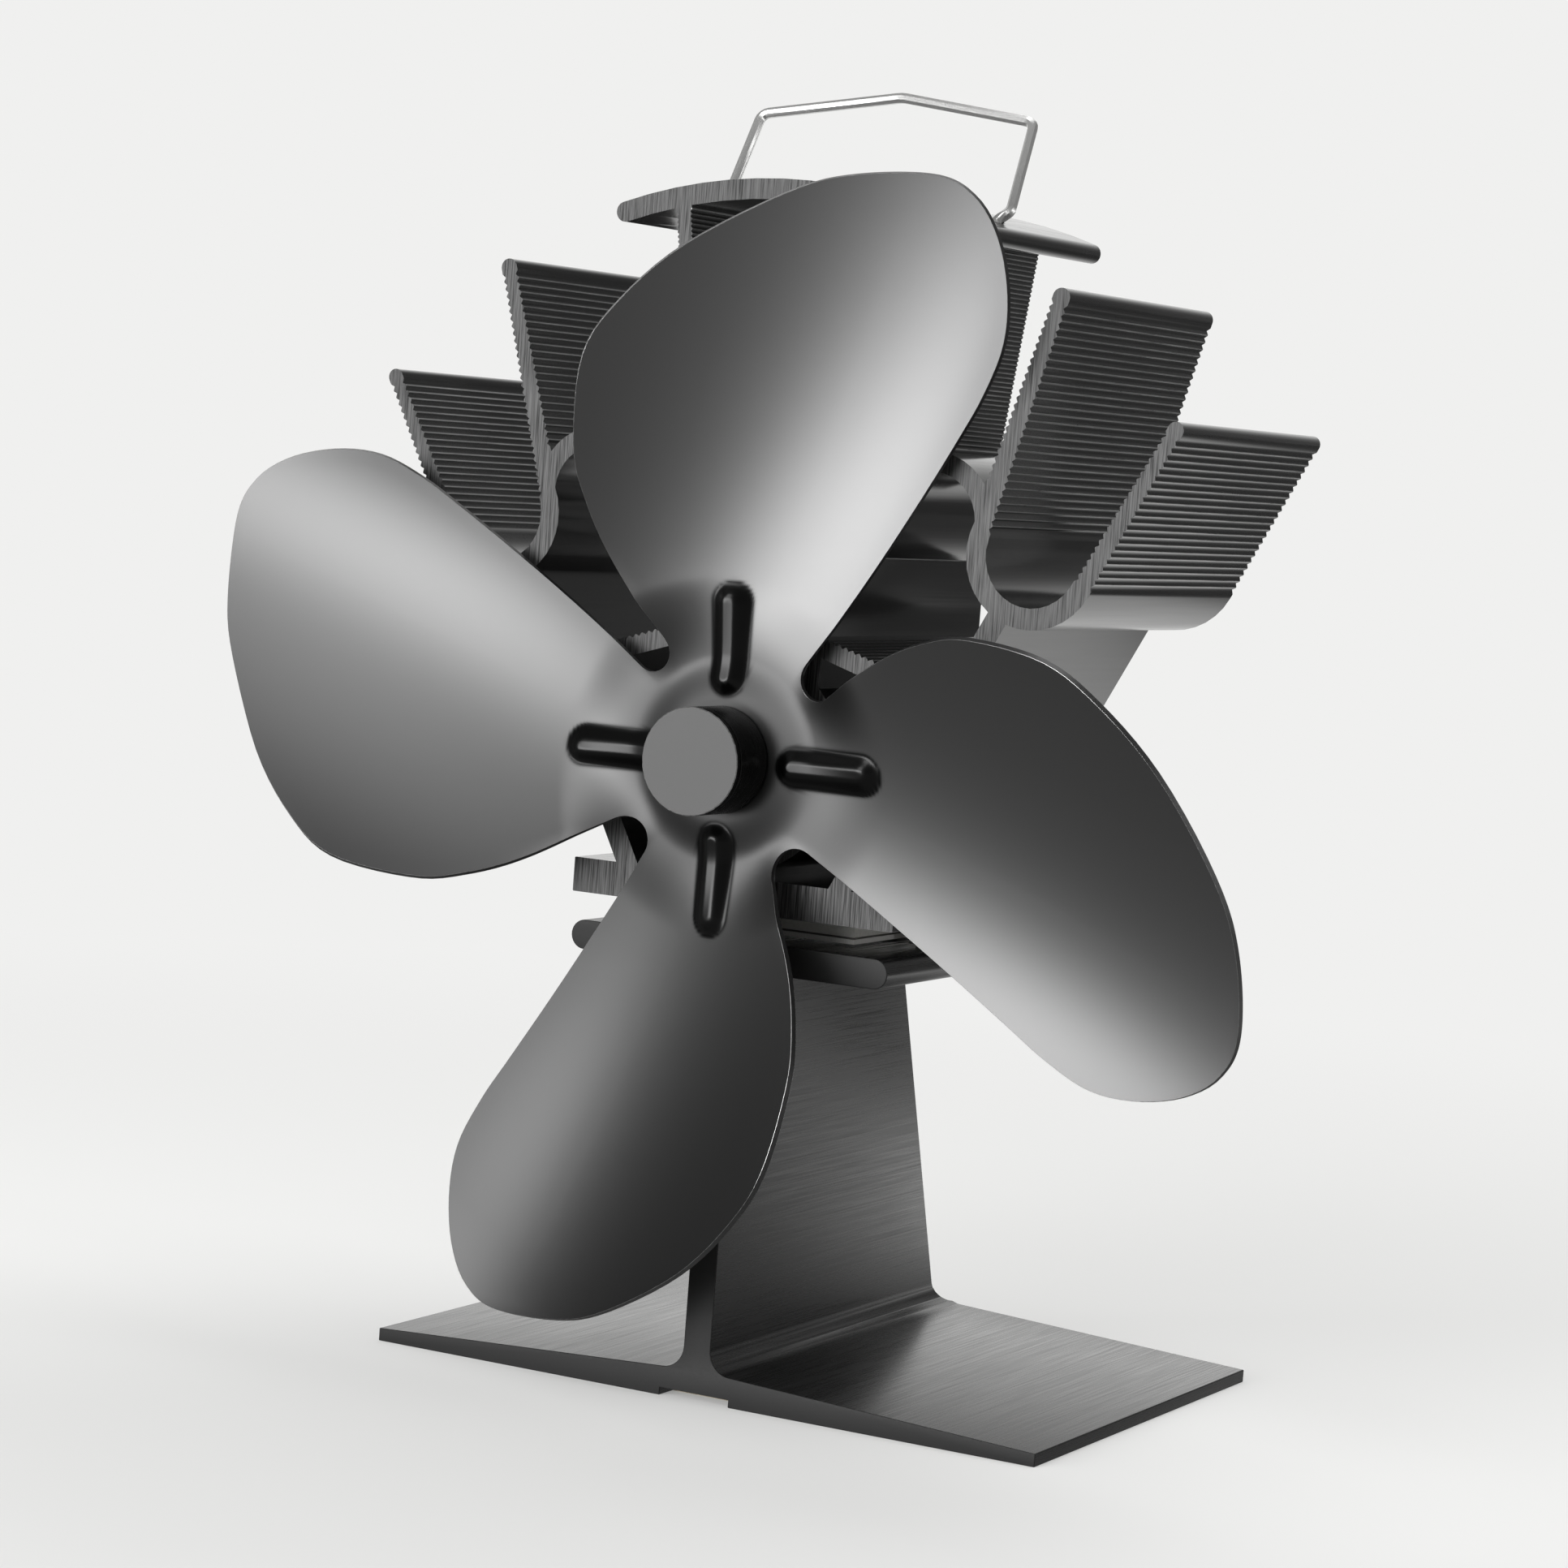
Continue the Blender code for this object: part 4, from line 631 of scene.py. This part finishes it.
def bladeMesh():
    # one quarter of the fan around (0, 0, 0): the blade and its share of the raised middle
    edge, notch = bladeEdge()
    last = len(edge) - 1
    bandStart = fanPlan["beadMiddle"] - fanPlan["beadBand"]
    bandEnd = fanPlan["beadMiddle"] + fanPlan["beadBand"]
    before, within, after = fanPlan["columns"]
    columns = spread(0, bandStart, before) + spread(bandStart, bandEnd, within)
    columns += spread(bandEnd, 1, after) + [1]
    nearRoot, onwards = fanPlan["rows"]
    rows = spread(0, fanPlan["rootShare"], nearRoot)
    rows += spread(fanPlan["rootShare"], fanPlan["tipShare"], onwards) + [fanPlan["tipShare"]]
    places, faces = [], []
    # per point: where the bead shines, and where painted shade lies around its foot and over the middle
    beadAndShadeMarks = {"bead": [], "foot": [], "dome": []}

    def addPoint(out, side):
        share = beadShare(out, side)
        places.append((side, sheetOff(out, side) + pressedForm(out, side), out))
        beadAndShadeMarks["bead"].append(softStep((fanPlan["beadMark"] - share) / fanPlan["beadMarkFade"]))
        # painted shade in a thin line around the bead's foot
        beadAndShadeMarks["foot"].append(math.exp(-((share - 1) / fanPlan["footMark"]) ** 2))
        # painted shade over the middle, fading outwards
        pastMiddle = math.hypot(out, side) - fanPlan["domeShadeFrom"]
        beadAndShadeMarks["dome"].append(1 - softStep(pastMiddle / fanPlan["domeShadeFade"]))
        return len(places) - 1

    # the blade in rows from edge to edge, the last one along the outline around the tip
    blade = []
    for row in rows:
        left = alongOutline(edge, fanPlan["tip"] * row)
        right = alongOutline(edge, last - (last - fanPlan["tip"]) * row)
        blade.append([addPoint(*(left + (right - left) * column)) for column in columns])
    low = fanPlan["tip"] * rows[-1]
    high = last - (last - fanPlan["tip"]) * rows[-1]
    tip = [addPoint(*alongOutline(edge, low + (high - low) * column)) for column in columns[1:-1]]
    blade.append([blade[-1][0]] + tip + [blade[-1][-1]])
    for line, above in zip(blade, blade[1:]):
        for i in range(len(columns) - 1):
            faces.append(list(dict.fromkeys([line[i], line[i + 1], above[i + 1], above[i]])))

    # the middle in spokes from the bore out to the blade's root and the notch
    leftRoot, rightRoot = alongOutline(edge, 0), alongOutline(edge, last)
    ends = []
    for column, index in zip(columns, blade[0]):
        out, side = leftRoot * (1 - column) + rightRoot * column
        ends.append((out, side, index))
    for out, side in notchArc(notch, edge[-1], (-edge[0][1], edge[0][0])):
        ends.append((out, side, addPoint(out, side)))
    spokes = []
    for out, side, index in ends:
        full = math.hypot(out, side)
        spoke = []
        for ring in spread(0, 1, fanPlan["rings"]):
            radius = fanPlan["bore"] + (full - fanPlan["bore"]) * ring
            spoke.append(addPoint(out * radius / full, side * radius / full))
        spokes.append(spoke + [index])
    for spoke, other in zip(spokes, spokes[1:]):
        for i in range(len(spoke) - 1):
            faces.append([spoke[i], other[i], other[i + 1], spoke[i + 1]])

    mesh = bpy.data.meshes.new("pressedBlade")
    mesh.from_pydata([[value * mm for value in place] for place in places], [], faces)
    for name, values in beadAndShadeMarks.items():
        mesh.attributes.new(name, "FLOAT", "POINT").data.foreach_set("value", values)
    # the third slot, the eased rim, takes the painted highlight
    for material in (satinSheet, shearedRim, highlightEdge):
        mesh.materials.append(material)
    return mesh


def fanTree():
    # the blade set around the hub point as often as asked, welded where the copies meet
    tree = bpy.data.node_groups.new("bladesAroundHub", "GeometryNodeTree")
    sockets = {"Blade": "NodeSocketGeometry", "Blades": "NodeSocketInt", "Hub Point": "NodeSocketVector",
               "Weld Distance": "NodeSocketFloat", "Finish": "NodeSocketMaterial"}
    for name, kind in sockets.items():
        tree.interface.new_socket(name, in_out="INPUT", socket_type=kind)
    tree.interface.new_socket("Fan", in_out="OUTPUT", socket_type="NodeSocketGeometry")
    given = addNode(tree, "NodeGroupInput")
    spots = addNode(tree, "GeometryNodeMeshLine", {"mode": "OFFSET"}, {
        "Count": given.outputs["Blades"], "Start Location": given.outputs["Hub Point"], "Offset": (0, 0, 0)})
    number = addNode(tree, "GeometryNodeInputIndex")
    step = addNode(tree, "ShaderNodeMath", {"operation": "DIVIDE"}, {
        0: 2 * math.pi, 1: given.outputs["Blades"]})
    angle = addNode(tree, "ShaderNodeMath", {"operation": "MULTIPLY"}, {
        0: number.outputs["Index"], 1: step.outputs[0]})
    turn = addNode(tree, "ShaderNodeCombineXYZ", None, {"Y": angle.outputs[0]})
    rotation = addNode(tree, "FunctionNodeEulerToRotation", None, {"Euler": turn.outputs["Vector"]})
    placed = addNode(tree, "GeometryNodeInstanceOnPoints", None, {
        "Points": spots.outputs["Mesh"], "Instance": given.outputs["Blade"],
        "Rotation": rotation.outputs["Rotation"]})
    real = addNode(tree, "GeometryNodeRealizeInstances", None, {"Geometry": placed.outputs["Instances"]})
    welded = addNode(tree, "GeometryNodeMergeByDistance", None, {
        "Geometry": real.outputs["Geometry"], "Distance": given.outputs["Weld Distance"]})
    finished = addNode(tree, "GeometryNodeSetMaterial", None, {
        "Geometry": welded.outputs["Geometry"], "Material": given.outputs["Finish"]})
    addNode(tree, "NodeGroupOutput", None, {"Fan": finished.outputs["Geometry"]})
    return tree


def setInputs(modifier, values):
    # a modifier's inputs by their names in the tree's list
    for item in modifier.node_group.interface.items_tree:
        if item.in_out == "INPUT" and item.name in values:
            modifier[item.identifier] = values[item.name]


def makeFan():
    fan = bpy.data.objects.new("pressedFan", bladeMesh())
    scene.collection.objects.link(fan)
    around = fan.modifiers.new("bladesAroundHub", "NODES")
    around.node_group = fanTree()
    setInputs(around, {"Blades": fanPlan["blades"], "Hub Point": hubPoint,
                       "Weld Distance": fanPlan["weld"] * mm, "Finish": satinSheet})
    sheet = fan.modifiers.new("sheetThickness", "SOLIDIFY")
    sheet.thickness = fanPlan["thickness"] * mm
    sheet.offset = -1  # all of it behind the pressed surface
    sheet.use_even_offset = True
    sheet.material_offset_rim = endSlot
    plainMesh(fan)
    weights = []
    bm = bmesh.new()
    bm.from_mesh(fan.data)
    for line in bm.edges:
        slots = {face.material_index for face in line.link_faces}
        weights.append(1.0 if len(slots) == 2 else 0.0)  # only where a face of the sheet meets its cut rim
    bm.free()
    easeEdges(fan, weights, fanPlan["rim"], segments=1, clamp=True)
    shadeSmooth(fan, fanPlan["sharpFrom"])
    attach(fan, "rotor")
    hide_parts("fan_blades")


makeFan()
print("fan pressed")


# Pieces copied from the model, their edges eased; edge is the width in mm, or 0 to leave them as they
# are, and ends says whether the edges around the front and back are eased too

easedPieces = {
    "base_stand": {"piece": "baseStand", "side": brushedBlack, "end": milledBlack, "rim": milledBlack,
                   "edge": 0.35, "segments": 3, "ends": True},
    # the sink's and the hub cap's eased edges take the painted highlight as their rim finish
    "heat_sink": {"piece": "heatSink", "side": drawnBlack, "end": sawnBlack, "rim": highlightEdge,
                  "edge": 0.12, "segments": 1, "ends": False},
    "hub_body": {"piece": "hubBody", "side": turnedBlack, "end": turnedBlack, "rim": turnedBlack,
                 "edge": 0.10, "segments": 1, "ends": True},
    "hub_cap": {"piece": "hubCap", "side": turnedBlack, "end": facedGrey, "rim": highlightEdge,
                "edge": 0.12, "segments": 1, "ends": True},
    "carry_handle": {"piece": "carryHandle", "side": brightWire, "end": brightWire, "rim": brightWire,
                     "edge": 0.0, "segments": 1, "ends": False},
}

easing = {
    "weld": 0.002,             # mm, corners of the loose triangles closer than this are one
    "flat": 0.3,               # degrees, triangles that bend less than this become one face
    "outer": 40,               # degrees, an edge is eased where it turns outwards by more
    "endFacing": 0.9,          # a face is an end where its normal has this much of Y
    "alongDepth": 0.99,        # an edge runs from front to back where it has this much of Y
    "sharpFrom": 30,           # degrees
}


def isEnd(face):
    return abs(face.normal.y) > easing["endFacing"]


def easedCopy(node, plan):
    # the model's loose triangles welded, flat faces made whole, ends in their own finish;
    # outer edges along Y eased, and those around the ends where the plan says so
    mesh = nodes[node].data.copy()
    mesh.name = plan["piece"]
    mesh.materials.clear()
    bm = bmesh.new()
    bm.from_mesh(mesh)
    bmesh.ops.remove_doubles(bm, verts=bm.verts, dist=easing["weld"] * mm)
    flat = math.radians(easing["flat"])
    bmesh.ops.dissolve_limit(bm, angle_limit=flat, verts=bm.verts, edges=bm.edges)
    turned = math.radians(easing["outer"])
    weights = []
    for line in bm.edges:
        outer = len(line.link_faces) == 2 and line.calc_face_angle_signed() > turned
        way = (line.verts[1].co - line.verts[0].co).normalized()
        around = plan["ends"] and any(isEnd(face) for face in line.link_faces)
        weights.append(1.0 if outer and (around or abs(way.y) > easing["alongDepth"]) else 0.0)
    for face in bm.faces:
        face.material_index = endSlot if isEnd(face) else sideSlot
    bm.to_mesh(mesh)
    bm.free()
    piece = addPiece(plan["piece"], mesh, nodes[node]["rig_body"], plan["side"], plan["end"], plan["rim"])
    if plan["edge"]:
        # edges along Y alone leave the bevel room, so it is clamped only where the ends are eased too
        easeEdges(piece, weights, plan["edge"], plan["segments"], plan["ends"])
    shadeSmooth(piece, easing["sharpFrom"])
    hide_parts(node)


# Pieces that keep the model's own shape

carriedOver = {
    "bimetal_strip": bimetalSheet, "bimetal_rivet": zincSteel, "teg_hot_plate": whiteCeramic,
    "teg_cold_plate": whiteCeramic, "teg_edge_seal": whiteSilicone, "teg_thermocouples": tellurideLegs,
    "clamp_screw_left": zincSteel, "clamp_screw_right": zincSteel, "insulating_bush_left": darkPlastic,
    "insulating_bush_right": darkPlastic, "motor_can": nickelSteel, "motor_end_cap": darkPlastic,
    "motor_sleeve": greySilicone, "motor_front_bearing": oiledBronze, "motor_rear_bearing": oiledBronze,
    "motor_magnet_left": darkFerrite, "motor_magnet_right": darkFerrite, "motor_brush_left": windingCopper,
    "motor_brush_right": windingCopper, "motor_terminal_left": turnedBrass,
    "motor_terminal_right": turnedBrass, "lead_positive": redSilicone, "lead_negative": blackSilicone,
    "motor_shaft": zincSteel, "armature_core": stampedSteel, "armature_coil_1": windingCopper,
    "armature_coil_2": windingCopper, "armature_coil_3": windingCopper, "commutator": windingCopper,
    "shaft_spacer": turnedBrass, "hub_grub_screw": zincSteel, "blade_retaining_ring": zincSteel,
}

for node, plan in easedPieces.items():
    easedCopy(node, plan)
for node, material in carriedOver.items():
    for materialSlot in nodes[node].material_slots:
        materialSlot.material = material
print("pieces dressed")
